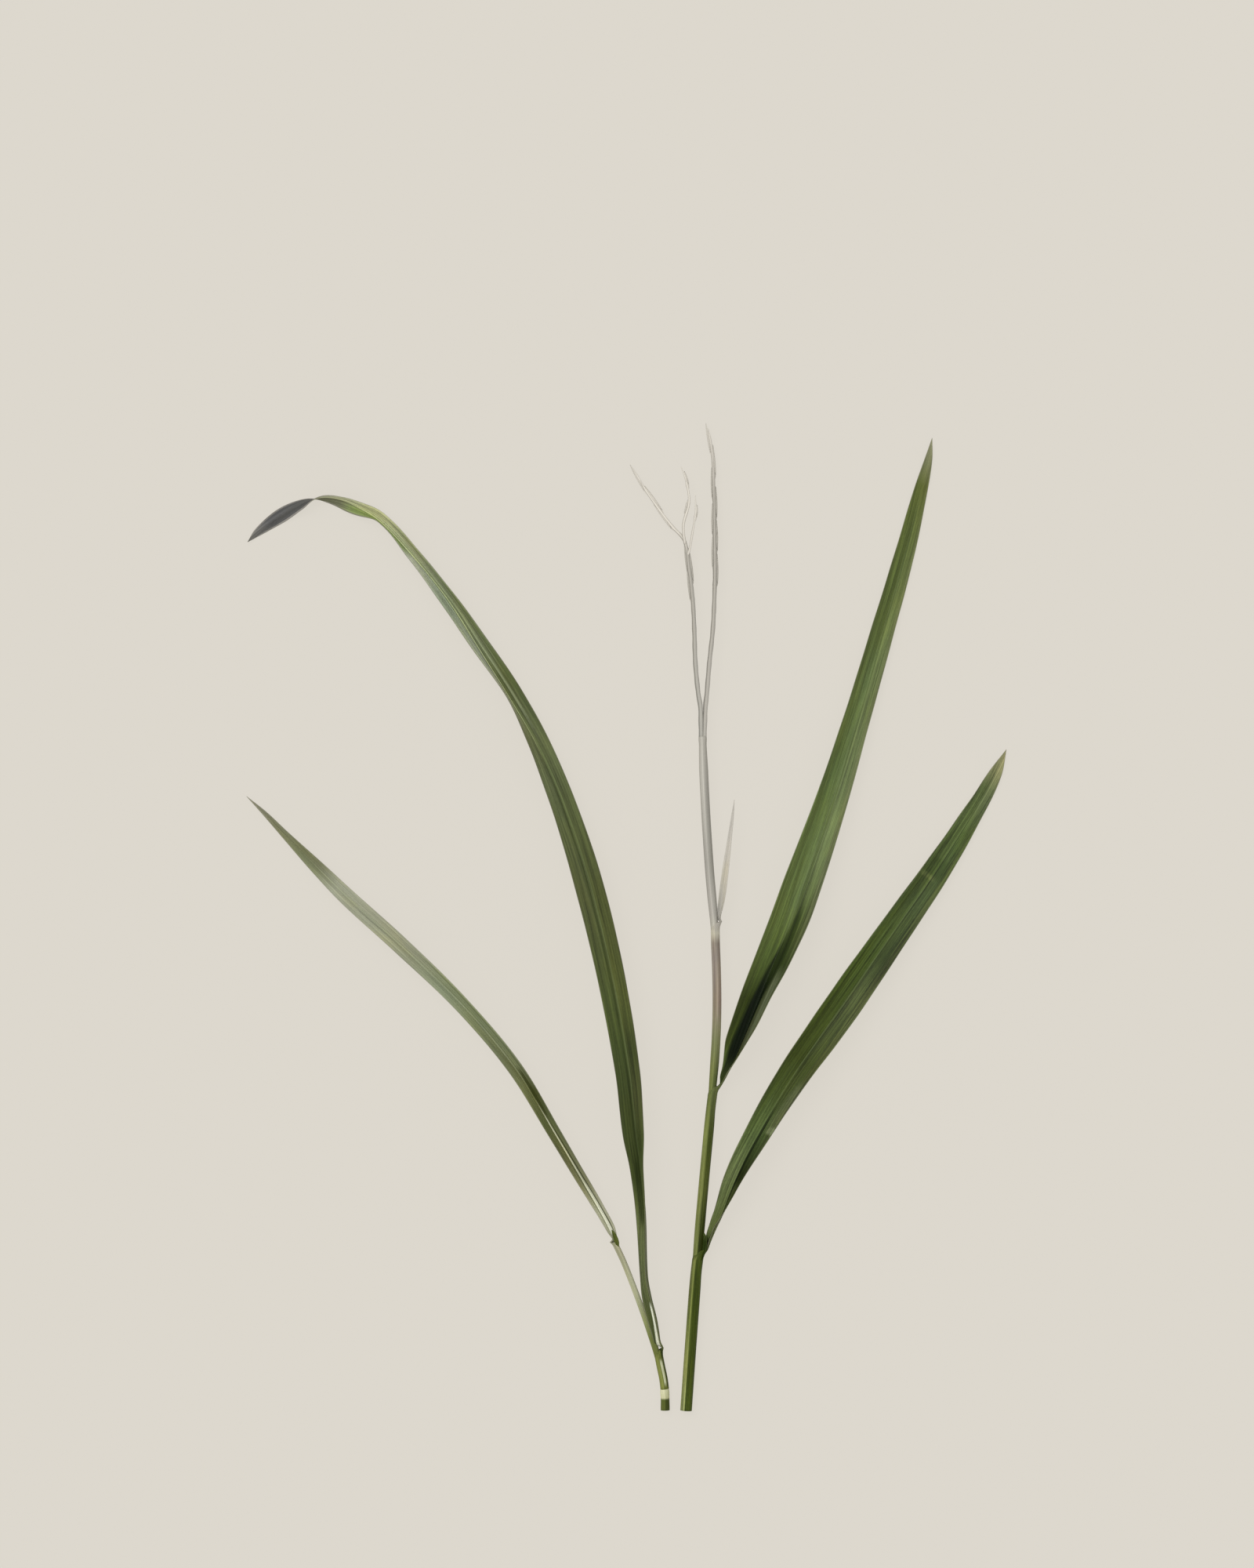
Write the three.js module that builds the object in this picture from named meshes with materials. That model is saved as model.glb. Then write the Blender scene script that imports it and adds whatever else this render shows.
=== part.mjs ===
// Panicum grass, cut and laid flat: two leafy shoots of one tuft, one of them ending in a panicle.
// Millimetres and degrees. +Z is up from the surface, +Y runs from the cut ends to the tips.
import * as THREE from "three";

// ---- Driving dimensions ------------------------------------------------------------------------
const PLANT_LENGTH = 300; // cut ends to the highest panicle tip
const PLANT_SPREAD = 232; // outermost leaf tip on the left to the one on the right

const RIGHT_CULM_RADIUS = 1.53; // at the cut end
const RIGHT_CULM_UPPER_RADIUS = 1.28; // between the two broad leaves
const NECK_RADIUS = 1.1; // inside the flag leaf's sheath
const PEDUNCLE_RADIUS = 1.36; // bare stem below the panicle
const FORK_RADIUS = 1.14; // where the panicle forks
const RING_HEIGHT = 0.2; // of the ring round the peduncle
const LEFT_CULM_RADIUS = 1.12; // at the cut end
const LEFT_CORE_RADIUS = 0.46; // young stem inside the left sheaths

const SHEATH_WALL = 0.22;
const SHEATH_GAP = 0.2; // between a sheath and what it wraps
const BLADE_THICKNESS = 0.3;

const ARCHING_LEAF_WIDTH = 9;
const LEFT_LEAF_WIDTH = 6.4;
const LOWER_LEAF_WIDTH = 11.4;
const UPPER_LEAF_WIDTH = 12.8;
const FLAG_LEAF_WIDTH = 2.8;

const BRANCH_RADIUS = 0.62;
const TWIG_RADIUS = 0.42;
const SPIKELET_LENGTH = 3.2;
const SPIKELET_RADIUS = 0.5;
const PANICLE_GAP = 0.3; // between a branch and its neighbour or a spikelet

// ---- Fixed choices -----------------------------------------------------------------------------
const ROUTE_LENGTH = 300; // the size at which every route below is written down
const ROUTE_SPREAD = 232;
const STEM_SIDES = 12;
const BRANCH_SIDES = 8;
const HALF_STRIPS = 5; // facets across half a leaf
const SHEATH_STEP = 9; // distance between two stations of a sheath
const BLADE_STEP = 9;
const STEM_STEP = 9;
const TIP_HALF_WIDTH = 0.14;
const COLLAR_REACH = 35; // over which a blade comes free of its shoot
const SHEATH_CUT = 0.6; // how far the culm stands proud of the cut sheath
const FLAG_COLLAR_SPREAD = 0.7;
const SPIKELET_LEAN = 0.16; // outwards, per unit of length
const SHEATH_WRAP = 165; // how far each half of a sheath reaches round its stem
const MITER_LIMIT = 1.7;

const NODE_TAPER = 1.5; // over which a stem thins above a node
const NECK_TAPER = 9; // over which it thickens again above a collar

// Nodes of the stems, as distances along +Y.
const UPPER_LEAF_NODE = 36;
const FLAG_LEAF_NODE = 90;
const LEFT_NODE = 6;
// Collars, where a sheath opens into its blade.
const LOWER_LEAF_COLLAR = 46.5;
const UPPER_LEAF_COLLAR = 97;
const FLAG_LEAF_COLLAR = 147;
const ARCHING_LEAF_COLLAR = 16.3;
const LEFT_LEAF_COLLAR = 50.7;
const PEDUNCLE_RING = 205;
const PANICLE_FORK = 214;

const UP = new THREE.Vector3(0, 0, 1);
const radians = THREE.MathUtils.degToRad;
const alongPlant = (y) => (y * PLANT_LENGTH) / ROUTE_LENGTH;
const acrossPlant = (x) => (x * PLANT_SPREAD) / ROUTE_SPREAD;
const stretchOf = (x) => acrossPlant(x) - x;

// ---- Curves through written points -------------------------------------------------------------

// Smooth curve through rows of numbers, where keys[i] says how far along row i lies.
function curveThrough(keys, rows) {
  const slope = (i, column) => {
    const before = Math.max(i - 1, 0);
    const after = Math.min(i + 1, rows.length - 1);
    return (rows[after][column] - rows[before][column]) / (keys[after] - keys[before]);
  };
  return (key) => {
    let i = 0;
    while (i < keys.length - 2 && key > keys[i + 1]) i++;
    const span = keys[i + 1] - keys[i];
    const t = (key - keys[i]) / span;
    return rows[i].map((start, column) => {
      const end = rows[i + 1][column];
      const leave = slope(i, column) * span;
      const arrive = slope(i + 1, column) * span;
      const bend = 2 * (start - end) + leave + arrive;
      return start + t * (leave + t * (3 * (end - start) - 2 * leave - arrive + t * bend));
    });
  };
}

// Straight stretches between [distance, value] pairs.
function stepsBetween(pairs) {
  return (y) => {
    if (y <= pairs[0][0]) return pairs[0][1];
    for (let i = 1; i < pairs.length; i++) {
      const [from, start] = pairs[i - 1];
      const [to, end] = pairs[i];
      if (y <= to) return THREE.MathUtils.mapLinear(y, from, to, start, end);
    }
    return pairs[pairs.length - 1][1];
  };
}

// The axis of a shoot, from written [x, y, z] points: a point and a heading for each y.
function shootAxis(points) {
  const keys = points.map((p) => p[1]);
  const at = curveThrough(keys, points);
  const point = (y) => {
    const [x, , z] = at(y);
    return new THREE.Vector3(acrossPlant(x), alongPlant(y), z);
  };
  const heading = (y) => point(y + 0.5).sub(point(y - 0.5)).normalize();
  const last = keys[keys.length - 1];
  const stretch = (y) => stretchOf(at(Math.min(y, last))[0]);
  return { point, heading, stretch };
}

// Right-hand and upward directions square to a heading.
function crossAxes(heading) {
  const right = new THREE.Vector3().crossVectors(heading, UP).normalize();
  const above = new THREE.Vector3().crossVectors(right, heading);
  return { right, above };
}

// ---- Solids ------------------------------------------------------------------------------------

// Closed solid through rings of equally many points, with a ladder of quads over each end.
function skin(rings) {
  const sides = rings[0].length;
  const index = [];
  const quad = (a, b, c, d) => index.push(a, b, c, a, c, d);
  for (let ring = 0; ring < rings.length - 1; ring++) {
    for (let side = 0; side < sides; side++) {
      const a = ring * sides + side;
      const b = ring * sides + ((side + 1) % sides);
      quad(a, b, b + sides, a + sides);
    }
  }
  const last = (rings.length - 1) * sides;
  for (let i = 0; i < sides / 2 - 1; i++) {
    const j = sides - 1 - i;
    quad(i, j, j - 1, i + 1);
    quad(last + i, last + i + 1, last + j - 1, last + j);
  }
  const geometry = new THREE.BufferGeometry();
  geometry.setAttribute(
    "position",
    new THREE.Float32BufferAttribute(rings.flat().flatMap((p) => [p.x, p.y, p.z]), 3),
  );
  geometry.setIndex(index);
  geometry.computeVertexNormals();
  return geometry;
}

function stemRing(centre, heading, radius, sides) {
  const { right, above } = crossAxes(heading);
  const ring = [];
  for (let side = 0; side < sides; side++) {
    const angle = (side / sides) * Math.PI * 2;
    const point = centre.clone();
    point.addScaledVector(right, -radius * Math.cos(angle));
    point.addScaledVector(above, radius * Math.sin(angle));
    ring.push(point);
  }
  return ring;
}

// Round stem along a shoot's axis, with a ring at each distance in `stops`.
function stem(axis, radiusAt, stops) {
  return skin(stops.map((y) => stemRing(axis.point(y), axis.heading(y), radiusAt(y), STEM_SIDES)));
}

function stopsBetween(from, to, step) {
  const count = Math.max(1, Math.ceil((to - from) / step));
  return Array.from({ length: count + 1 }, (_, i) => from + ((to - from) * i) / count);
}

// One half of a leaf's cross-section: a strip of constant curl that starts at the midrib.
function halfSection(halfWidth, startAngle, curl, side) {
  const points = [];
  for (let i = 1; i <= HALF_STRIPS; i++) {
    const share = i / HALF_STRIPS;
    const angle = startAngle + curl * share;
    const straight = Math.abs(curl) < 1e-3;
    const out = straight
      ? share * Math.cos(startAngle)
      : (Math.sin(angle) - Math.sin(startAngle)) / curl;
    const lift = straight
      ? share * Math.sin(startAngle)
      : (Math.cos(startAngle) - Math.cos(angle)) / curl;
    points.push({
      position: new THREE.Vector2(side * halfWidth * out, halfWidth * lift),
      normal: new THREE.Vector2(-side * Math.sin(angle), Math.cos(angle)),
    });
  }
  return points;
}

// Ring round a leaf's cross-section: over the upper face from left to right, and back underneath.
function leafRing(station, heading) {
  const { midrib, halfWidth, fold, roll, curl, thickness } = station;
  const left = halfSection(halfWidth, fold - roll, curl, -1).reverse();
  const right = halfSection(halfWidth, fold + roll, curl, 1);
  const miter = Math.min(1 / Math.cos(fold), MITER_LIMIT);
  const middle = {
    position: new THREE.Vector2(0, 0),
    normal: new THREE.Vector2(-Math.sin(roll), Math.cos(roll)).multiplyScalar(miter),
  };
  const section = [...left, middle, ...right];
  const axes = crossAxes(heading);
  const place = ({ position, normal }, offset) => {
    const flat = position.clone().addScaledVector(normal, offset);
    return midrib.clone().addScaledVector(axes.right, flat.x).addScaledVector(axes.above, flat.y);
  };
  const upper = section.map((p) => place(p, thickness / 2));
  const under = section.map((p) => place(p, -thickness / 2)).reverse();
  return [...upper, ...under];
}

// Stations of a sheath that wraps whatever has radius wrapped(y) about the axis.
// side is 1 where the midrib runs along the right of the shoot, and -1 on its left.
function sheathStations(axis, from, to, wrapped, side) {
  const step = Math.min(SHEATH_STEP, (to - from) / 3);
  return stopsBetween(from, to, step).map((y) => {
    const radius = wrapped(y) + SHEATH_GAP + SHEATH_WALL / 2;
    const { right } = crossAxes(axis.heading(y));
    const midrib = axis.point(y).addScaledVector(right, side * radius);
    const halfWidth = radians(SHEATH_WRAP) * radius;
    return [...midrib.toArray(), halfWidth, 0, side * 90, SHEATH_WRAP, SHEATH_WALL];
  });
}

// A collar opens the sheath into the blade. Each row, in sheath radii: distance past the collar,
// how far the midrib has left the sheath, the growth of the section's radius; then its curl.
const COLLAR_ROWS = [
  [0.3, 0.03, 0.05, 150],
  [0.85, 0.2, 0.2, 120],
  [1.9, 0.55, 0.27, 95],
  [3.2, 1.1, 0.25, 72],
];

function collarStations(axis, collar, wrapped, side, spread = 1) {
  const radius = wrapped(collar) + SHEATH_GAP + SHEATH_WALL / 2;
  return COLLAR_ROWS.map(([past, away, growth, curl]) => {
    const y = collar + past * radius;
    const { right } = crossAxes(axis.heading(y));
    const midrib = axis.point(y).addScaledVector(right, side * radius * (1 + away * spread));
    const halfWidth = radians(curl) * radius * (1 + growth);
    return [...midrib.toArray(), halfWidth, 0, side * 90, curl, SHEATH_WALL];
  });
}

// Stations of a blade from written rows: midrib x, y, z, share of the full width, fold, roll, curl.
// Near its collar a blade keeps its distance from the shoot, whatever the plant's spread.
function bladeStations(axis, collar, width, rows) {
  return rows.map(([x, y, z, share, fold, roll, curl = 0]) => {
    const free = THREE.MathUtils.smoothstep(y, collar, collar + COLLAR_REACH);
    const across = x + THREE.MathUtils.lerp(axis.stretch(y), stretchOf(x), free);
    const halfWidth = Math.max((share * width) / 2, TIP_HALF_WIDTH);
    const thickness = Math.min(BLADE_THICKNESS, halfWidth * 2);
    return [across, alongPlant(y), z, halfWidth, fold, roll, curl, thickness];
  });
}

// One leaf, sheath, collar and blade together, as a thin closed strip through its stations.
function leaf(sheath, collar, blade) {
  const rows = [...sheath, ...collar, ...blade];
  const middles = rows.map((row) => new THREE.Vector3(row[0], row[1], row[2]));
  const keys = [0];
  for (let i = 1; i < rows.length; i++) {
    keys.push(keys[i - 1] + middles[i].distanceTo(middles[i - 1]));
  }
  const at = curveThrough(keys, rows);
  const stops = [0];
  for (let i = 1; i < keys.length; i++) {
    const step = i < sheath.length ? SHEATH_STEP * 1.5 : BLADE_STEP;
    stops.push(...stopsBetween(keys[i - 1], keys[i], step).slice(1));
  }
  const end = keys[keys.length - 1];
  const middleAt = (key) => new THREE.Vector3(...at(THREE.MathUtils.clamp(key, 0, end)));
  return skin(
    stops.map((key) => {
      const [x, y, z, halfWidth, fold, roll, curl, thickness] = at(key);
      const heading = middleAt(key + 0.2).sub(middleAt(key - 0.2)).normalize();
      const station = {
        midrib: new THREE.Vector3(x, y, z),
        halfWidth: Math.max(halfWidth, TIP_HALF_WIDTH),
        fold: radians(fold),
        roll: radians(roll),
        curl: radians(curl),
        thickness,
      };
      return leafRing(station, heading);
    }),
  );
}

// Tapering panicle branch through written points.
function branch(points, radius, tipRadius) {
  const placed = points.map(([x, y, z]) => new THREE.Vector3(acrossPlant(x), alongPlant(y), z));
  const curve = new THREE.CatmullRomCurve3(placed, false, "centripetal");
  const count = Math.ceil(curve.getLength() / BLADE_STEP);
  const rings = [];
  for (let i = 0; i <= count; i++) {
    const share = i / count;
    const thick = THREE.MathUtils.lerp(radius, tipRadius, share ** 2);
    rings.push(stemRing(curve.getPointAt(share), curve.getTangentAt(share), thick, BRANCH_SIDES));
  }
  return { geometry: skin(rings), curve, radiusAt: (s) => radius + (tipRadius - radius) * s ** 2 };
}

// Spikelet: a lance-shaped grain, round about its length, which runs along its own +Y.
function spikeletGeometry() {
  const outline = [
    [0, 0],
    [0.5, 0.08],
    [0.92, 0.28],
    [1, 0.45],
    [0.7, 0.72],
    [0.28, 0.92],
    [0, 1],
  ];
  const profile = outline.map(([r, s]) => new THREE.Vector2(r * SPIKELET_RADIUS, s * SPIKELET_LENGTH));
  return new THREE.LatheGeometry(profile, BRANCH_SIDES);
}

// ---- The shoots' axes --------------------------------------------------------------------------
const rightAxis = shootAxis([
  [2.2, 0, 1.95],
  [3.8, 22.7, 2.7],
  [5.6, 46.7, 3.6],
  [7.7, 70.6, 4.3],
  [9.9, 94.5, 4.9],
  [11.3, 113, 5.2],
  [11.6, 128, 5.4],
  [10.9, 147.1, 5.6],
  [9.3, 166.3, 5.6],
  [8, 187, 5.4],
  [7.3, 205, 5],
  [7.4, 215, 4.8],
]);
const leftAxis = shootAxis([
  [-4.1, 0, 1.12],
  [-4.15, 4, 1.3],
  [-4.5, 8.4, 1.6],
  [-5.2, 12, 1.85],
  [-6.3, 16.5, 2.2],
  [-8.2, 22.5, 2.7],
  [-10.6, 29.5, 3.2],
  [-13.4, 37.1, 3.7],
  [-16.2, 44.3, 4.1],
  [-18.9, 50.7, 4.4],
  [-21.3, 57, 4.8],
]);

// ---- Right shoot -------------------------------------------------------------------------------
const WRAP = SHEATH_WALL + SHEATH_GAP; // what one sheath adds to a radius

// A stem thins by one wrap above each node, where a sheath takes over its outside.
const rightCulmRadius = stepsBetween([
  [UPPER_LEAF_NODE, RIGHT_CULM_RADIUS],
  [UPPER_LEAF_NODE + NODE_TAPER, RIGHT_CULM_RADIUS - WRAP],
  [LOWER_LEAF_COLLAR, RIGHT_CULM_RADIUS - WRAP],
  [LOWER_LEAF_COLLAR + NECK_TAPER, RIGHT_CULM_UPPER_RADIUS],
  [FLAG_LEAF_NODE, RIGHT_CULM_UPPER_RADIUS],
  [FLAG_LEAF_NODE + NODE_TAPER, RIGHT_CULM_UPPER_RADIUS - WRAP],
  [UPPER_LEAF_COLLAR, RIGHT_CULM_UPPER_RADIUS - WRAP],
  [UPPER_LEAF_COLLAR + NECK_TAPER, NECK_RADIUS],
  [FLAG_LEAF_COLLAR, NECK_RADIUS],
  [FLAG_LEAF_COLLAR + NECK_TAPER, PEDUNCLE_RADIUS],
  [PEDUNCLE_RING - 9, PEDUNCLE_RADIUS],
  [PEDUNCLE_RING - 1, FORK_RADIUS],
  [PEDUNCLE_RING, FORK_RADIUS + RING_HEIGHT],
  [PEDUNCLE_RING + 1, FORK_RADIUS],
]);
const upperSheathStart = UPPER_LEAF_NODE + 2;
const flagSheathStart = FLAG_LEAF_NODE + 2;
const insideUpperSheath = (y) =>
  y > flagSheathStart - 1 ? rightCulmRadius(y) + WRAP : rightCulmRadius(y);
const insideLowerSheath = (y) =>
  y > upperSheathStart - 1 ? rightCulmRadius(y) + WRAP : rightCulmRadius(y);

function rightCulm() {
  const stops = [
    ...stopsBetween(0, UPPER_LEAF_NODE, STEM_STEP),
    UPPER_LEAF_NODE + NODE_TAPER,
    LOWER_LEAF_COLLAR,
    ...stopsBetween(LOWER_LEAF_COLLAR + NECK_TAPER, FLAG_LEAF_NODE, STEM_STEP),
    FLAG_LEAF_NODE + NODE_TAPER,
    UPPER_LEAF_COLLAR,
    ...stopsBetween(UPPER_LEAF_COLLAR + NECK_TAPER, FLAG_LEAF_COLLAR, STEM_STEP),
    ...stopsBetween(FLAG_LEAF_COLLAR + NECK_TAPER, PEDUNCLE_RING - 9, STEM_STEP),
    PEDUNCLE_RING - 1,
    PEDUNCLE_RING,
    PEDUNCLE_RING + 1,
    PANICLE_FORK,
  ];
  return stem(rightAxis, rightCulmRadius, stops);
}

function lowerRightLeaf() {
  return leaf(
    sheathStations(rightAxis, SHEATH_CUT, LOWER_LEAF_COLLAR, insideLowerSheath, 1),
    collarStations(rightAxis, LOWER_LEAF_COLLAR, insideLowerSheath, 1),
    bladeStations(rightAxis, LOWER_LEAF_COLLAR, LOWER_LEAF_WIDTH, [
      [11.3, 56, 4.9, 0.49, 10, 76, 45],
      [13.4, 60.4, 5.7, 0.52, 32, 50, 18],
      [17, 69.9, 7.2, 0.68, 35, 30, 5],
      [21.8, 79.7, 8.2, 0.77, 28, 18, 4],
      [33.1, 99.2, 8.8, 0.89, 20, 8, 4],
      [49.4, 123.2, 7.6, 1, 15, 0, 3],
      [66.2, 147.1, 4.6, 0.89, 14, 0, 2],
      [79, 166.3, 1.9, 0.75, 14, 0],
      [91.4, 185.4, 0.16, 0.52, 16, 0],
      [96.6, 195, 0.4, 0.37, 18, 0],
      [100.2, 201.9, 1.2, 0, 18, 0],
    ]),
  );
}

function upperRightLeaf() {
  return leaf(
    sheathStations(rightAxis, upperSheathStart, UPPER_LEAF_COLLAR, insideUpperSheath, 1),
    collarStations(rightAxis, UPPER_LEAF_COLLAR, insideUpperSheath, 1),
    bladeStations(rightAxis, UPPER_LEAF_COLLAR, UPPER_LEAF_WIDTH, [
      [15.2, 104.1, 5.7, 0.45, 18, 70, 42],
      [17.3, 108.3, 6.4, 0.71, 40, 42, 12],
      [19.2, 112.8, 6.9, 0.83, 38, 34, 6],
      [25.3, 127.4, 7.7, 0.95, 32, 24, 4],
      [33, 146.9, 7.6, 1, 22, 14, 3],
      [38, 161.4, 7, 0.95, 16, 6],
      [46.3, 185.4, 5.2, 0.8, 14, 0],
      [53.8, 209.3, 3.3, 0.66, 12, 0],
      [62.1, 238, 1.2, 0.57, 12, 0],
      [69, 262, 0.16, 0.48, 12, 0],
      [73.7, 281.1, 0.3, 0.36, 14, 0],
      [76.2, 290.7, 0.8, 0.19, 14, 0],
      [77.5, 297.1, 1.5, 0, 14, 0],
    ]),
  );
}

function flagLeaf() {
  return leaf(
    sheathStations(rightAxis, flagSheathStart, FLAG_LEAF_COLLAR, rightCulmRadius, 1),
    collarStations(rightAxis, FLAG_LEAF_COLLAR, rightCulmRadius, 1, FLAG_COLLAR_SPREAD),
    bladeStations(rightAxis, FLAG_LEAF_COLLAR, FLAG_LEAF_WIDTH, [
      [13.3, 155, 6.1, 0.88, 15, 75, 30],
      [13.9, 160.5, 6.2, 0.85, 25, 50],
      [14.7, 167, 6, 0.75, 25, 25],
      [15.6, 175, 5.6, 0.5, 25, 10],
      [16.4, 181.5, 5.2, 0.3, 25, 0],
      [17, 186.6, 4.9, 0, 25, 0],
    ]),
  );
}

// ---- Left shoot --------------------------------------------------------------------------------
const leftCulmRadius = stepsBetween([
  [0, LEFT_CULM_RADIUS],
  [LEFT_NODE - 2, LEFT_CULM_RADIUS - 0.06],
  [LEFT_NODE - 0.6, LEFT_CULM_RADIUS + 0.05],
  [LEFT_NODE + 0.6, LEFT_CORE_RADIUS],
  [LEFT_LEAF_COLLAR - 6, LEFT_CORE_RADIUS],
  [LEFT_LEAF_COLLAR, LEFT_CORE_RADIUS / 2],
]);
const archingSheathStart = LEFT_NODE + 1.3;
const leftSheathStart = LEFT_NODE + 3.5;
const insideArchingSheath = (y) => leftCulmRadius(y) + WRAP;

function leftCulm() {
  const stops = [
    0,
    LEFT_NODE - 2,
    LEFT_NODE - 0.6,
    LEFT_NODE + 0.6,
    ...stopsBetween(LEFT_NODE + 6, LEFT_LEAF_COLLAR - 6, STEM_STEP),
    LEFT_LEAF_COLLAR - 1,
  ];
  return stem(leftAxis, leftCulmRadius, stops);
}

function archingLeaf() {
  return leaf(
    sheathStations(leftAxis, archingSheathStart, ARCHING_LEAF_COLLAR, insideArchingSheath, 1),
    collarStations(leftAxis, ARCHING_LEAF_COLLAR, insideArchingSheath, 1),
    bladeStations(leftAxis, ARCHING_LEAF_COLLAR, ARCHING_LEAF_WIDTH, [
      [-6.3, 27, 3.9, 0.45, 22, 76, 35],
      [-8.2, 35, 5.3, 0.51, 45, 58, 15],
      [-9.6, 42, 6.4, 0.53, 50, 50, 5],
      [-10.4, 61, 8.2, 0.69, 50, 40],
      [-11.8, 75, 9, 0.74, 45, 30],
      [-13.1, 84.9, 9.4, 0.92, 35, 20],
      [-15.3, 104.1, 9.6, 0.94, 25, 12],
      [-20.6, 133, 9, 0.98, 16, 4],
      [-27.6, 161.5, 7.6, 1, 14, 0],
      [-35.8, 185.5, 5.6, 0.9, 18, -8],
      [-43.7, 203.6, 4, 0.92, 32, -26],
      [-51.8, 217.9, 2.8, 1, 42, -42],
      [-60.2, 231.4, 1.7, 0.93, 46, -22],
      [-70.4, 247.5, 0.7, 0.89, 52, -3],
      [-81.4, 261.2, 0.22, 0.82, 57, -9],
      [-91.6, 272.2, 0.22, 0.78, 52, -38],
      [-97.5, 275.4, 0.8, 0.74, 45, 5],
      [-103.5, 277.5, 1.8, 0.62, 24, 50],
      [-109.6, 278.5, 2.7, 0.5, 4, 90],
      [-115.5, 276.8, 1.72, 0.5, 6, 140],
      [-122, 272.7, 0.62, 0.49, 8, 180],
      [-128.2, 268, 0.5, 0.28, 8, 182],
      [-131.8, 265.3, 0.8, 0, 8, 182],
    ]),
  );
}

function leftLeaf() {
  return leaf(
    sheathStations(leftAxis, leftSheathStart, LEFT_LEAF_COLLAR, leftCulmRadius, -1),
    collarStations(leftAxis, LEFT_LEAF_COLLAR, leftCulmRadius, -1),
    bladeStations(leftAxis, LEFT_LEAF_COLLAR, LEFT_LEAF_WIDTH, [
      [-22.3, 56.6, 5, 0.68, 34, -36, 30],
      [-24.1, 61, 5.6, 0.81, 48, -12, 8],
      [-26.7, 65.8, 6.1, 0.9, 50, -4],
      [-37.9, 84.9, 7.4, 0.95, 48, 0],
      [-49.3, 104.1, 7.6, 0.97, 45, 0],
      [-65.2, 123.2, 6.4, 0.98, 43, 0],
      [-85, 142.3, 3.9, 1, 36, 0],
      [-100.5, 156.7, 1.7, 0.94, 32, 0],
      [-110.5, 166.3, 0.5, 0.75, 30, 0],
      [-120, 175.5, 0.2, 0.47, 28, 0],
      [-126.5, 182.3, 0.5, 0.25, 28, 0],
      [-132.1, 187.6, 1.2, 0, 28, 0],
    ]),
  );
}

// ---- Panicle -----------------------------------------------------------------------------------
const leftBranch = branch(
  [
    [6.65, PANICLE_FORK + 1, 4.8],
    [6, 218.9, 4.8],
    [5.1, 228.5, 4.7],
    [4.8, 238, 4.5],
    [4.3, 247.6, 4.2],
    [3.2, 257.2, 3.8],
    [1.8, 265.6, 3.4],
    [-1.9, 269.9, 3],
    [-5, 273.9, 2.6],
    [-9.6, 280.4, 1.9],
    [-13.9, 287.8, 1.2],
  ],
  BRANCH_RADIUS,
  0.2,
);
const upperTwig = branch(
  [
    [1.55, 267.4, 4.2],
    [1.5, 270.8, 4.3],
    [3.2, 277.5, 4],
    [2.2, 284.2, 3.5],
    [0.7, 288.3, 3.1],
  ],
  TWIG_RADIUS,
  0.18,
);
const sideTwig = branch(
  [
    [3.35, 263, 4],
    [4.3, 268.5, 4.2],
    [5.2, 274.5, 4],
    [5.1, 279.5, 3.6],
  ],
  TWIG_RADIUS * 0.8,
  0.16,
);
const rightBranch = branch(
  [
    [8.2, PANICLE_FORK + 1, 4.8],
    [8.6, 218.9, 4.8],
    [9.4, 228.5, 4.8],
    [10.4, 238, 4.7],
    [10.9, 247.6, 4.5],
    [11.1, 257.2, 4.2],
    [11, 266.7, 3.8],
    [10.8, 281.1, 2.9],
    [10.3, 291.9, 2.1],
    [9.1, 300, 1.4],
  ],
  BRANCH_RADIUS,
  0.2,
);

// Where spikelets sit: their branch, how far along it, and the side they lie on.
const SPIKELETS = [
  [rightBranch, 0.44, 1],
  [rightBranch, 0.5, -1],
  [rightBranch, 0.56, 1],
  [rightBranch, 0.62, -1],
  [rightBranch, 0.68, 1],
  [rightBranch, 0.75, -1],
  [rightBranch, 0.83, 1],
  [rightBranch, 0.91, -1],
  [leftBranch, 0.42, -1],
  [leftBranch, 0.49, 1],
  [leftBranch, 0.53, -1],
  [leftBranch, 0.72, -1],
  [leftBranch, 0.8, 1],
  [leftBranch, 0.9, -1],
  [upperTwig, 0.3, -1],
  [upperTwig, 0.72, 1],
  [sideTwig, 0.6, 1],
];

function spikeletMesh([host, share, side], material) {
  const heading = host.curve.getTangentAt(share);
  const { right } = crossAxes(heading);
  const lean = heading.clone().addScaledVector(right, side * SPIKELET_LEAN).normalize();
  const mesh = new THREE.Mesh(spikeletGeometry(), material);
  const reach = host.radiusAt(share) + PANICLE_GAP + SPIKELET_RADIUS;
  mesh.position.copy(host.curve.getPointAt(share)).addScaledVector(right, side * reach);
  mesh.quaternion.setFromUnitVectors(new THREE.Vector3(0, 1, 0), lean);
  return mesh;
}

// ---- Assembly ----------------------------------------------------------------------------------
const finish = (color, roughness) =>
  new THREE.MeshStandardMaterial({ color, roughness, metalness: 0 });
const broadGreen = finish(0x5c6b3f, 0.55);
const darkGreen = finish(0x4c5a33, 0.55);
const paleGreen = finish(0x8f9676, 0.6);
const stemGreen = finish(0x66702f, 0.5);
const faded = finish(0xb5b2a6, 0.7);

function named(name, geometry, material) {
  const mesh = new THREE.Mesh(geometry, material);
  mesh.name = name;
  return mesh;
}

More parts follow.
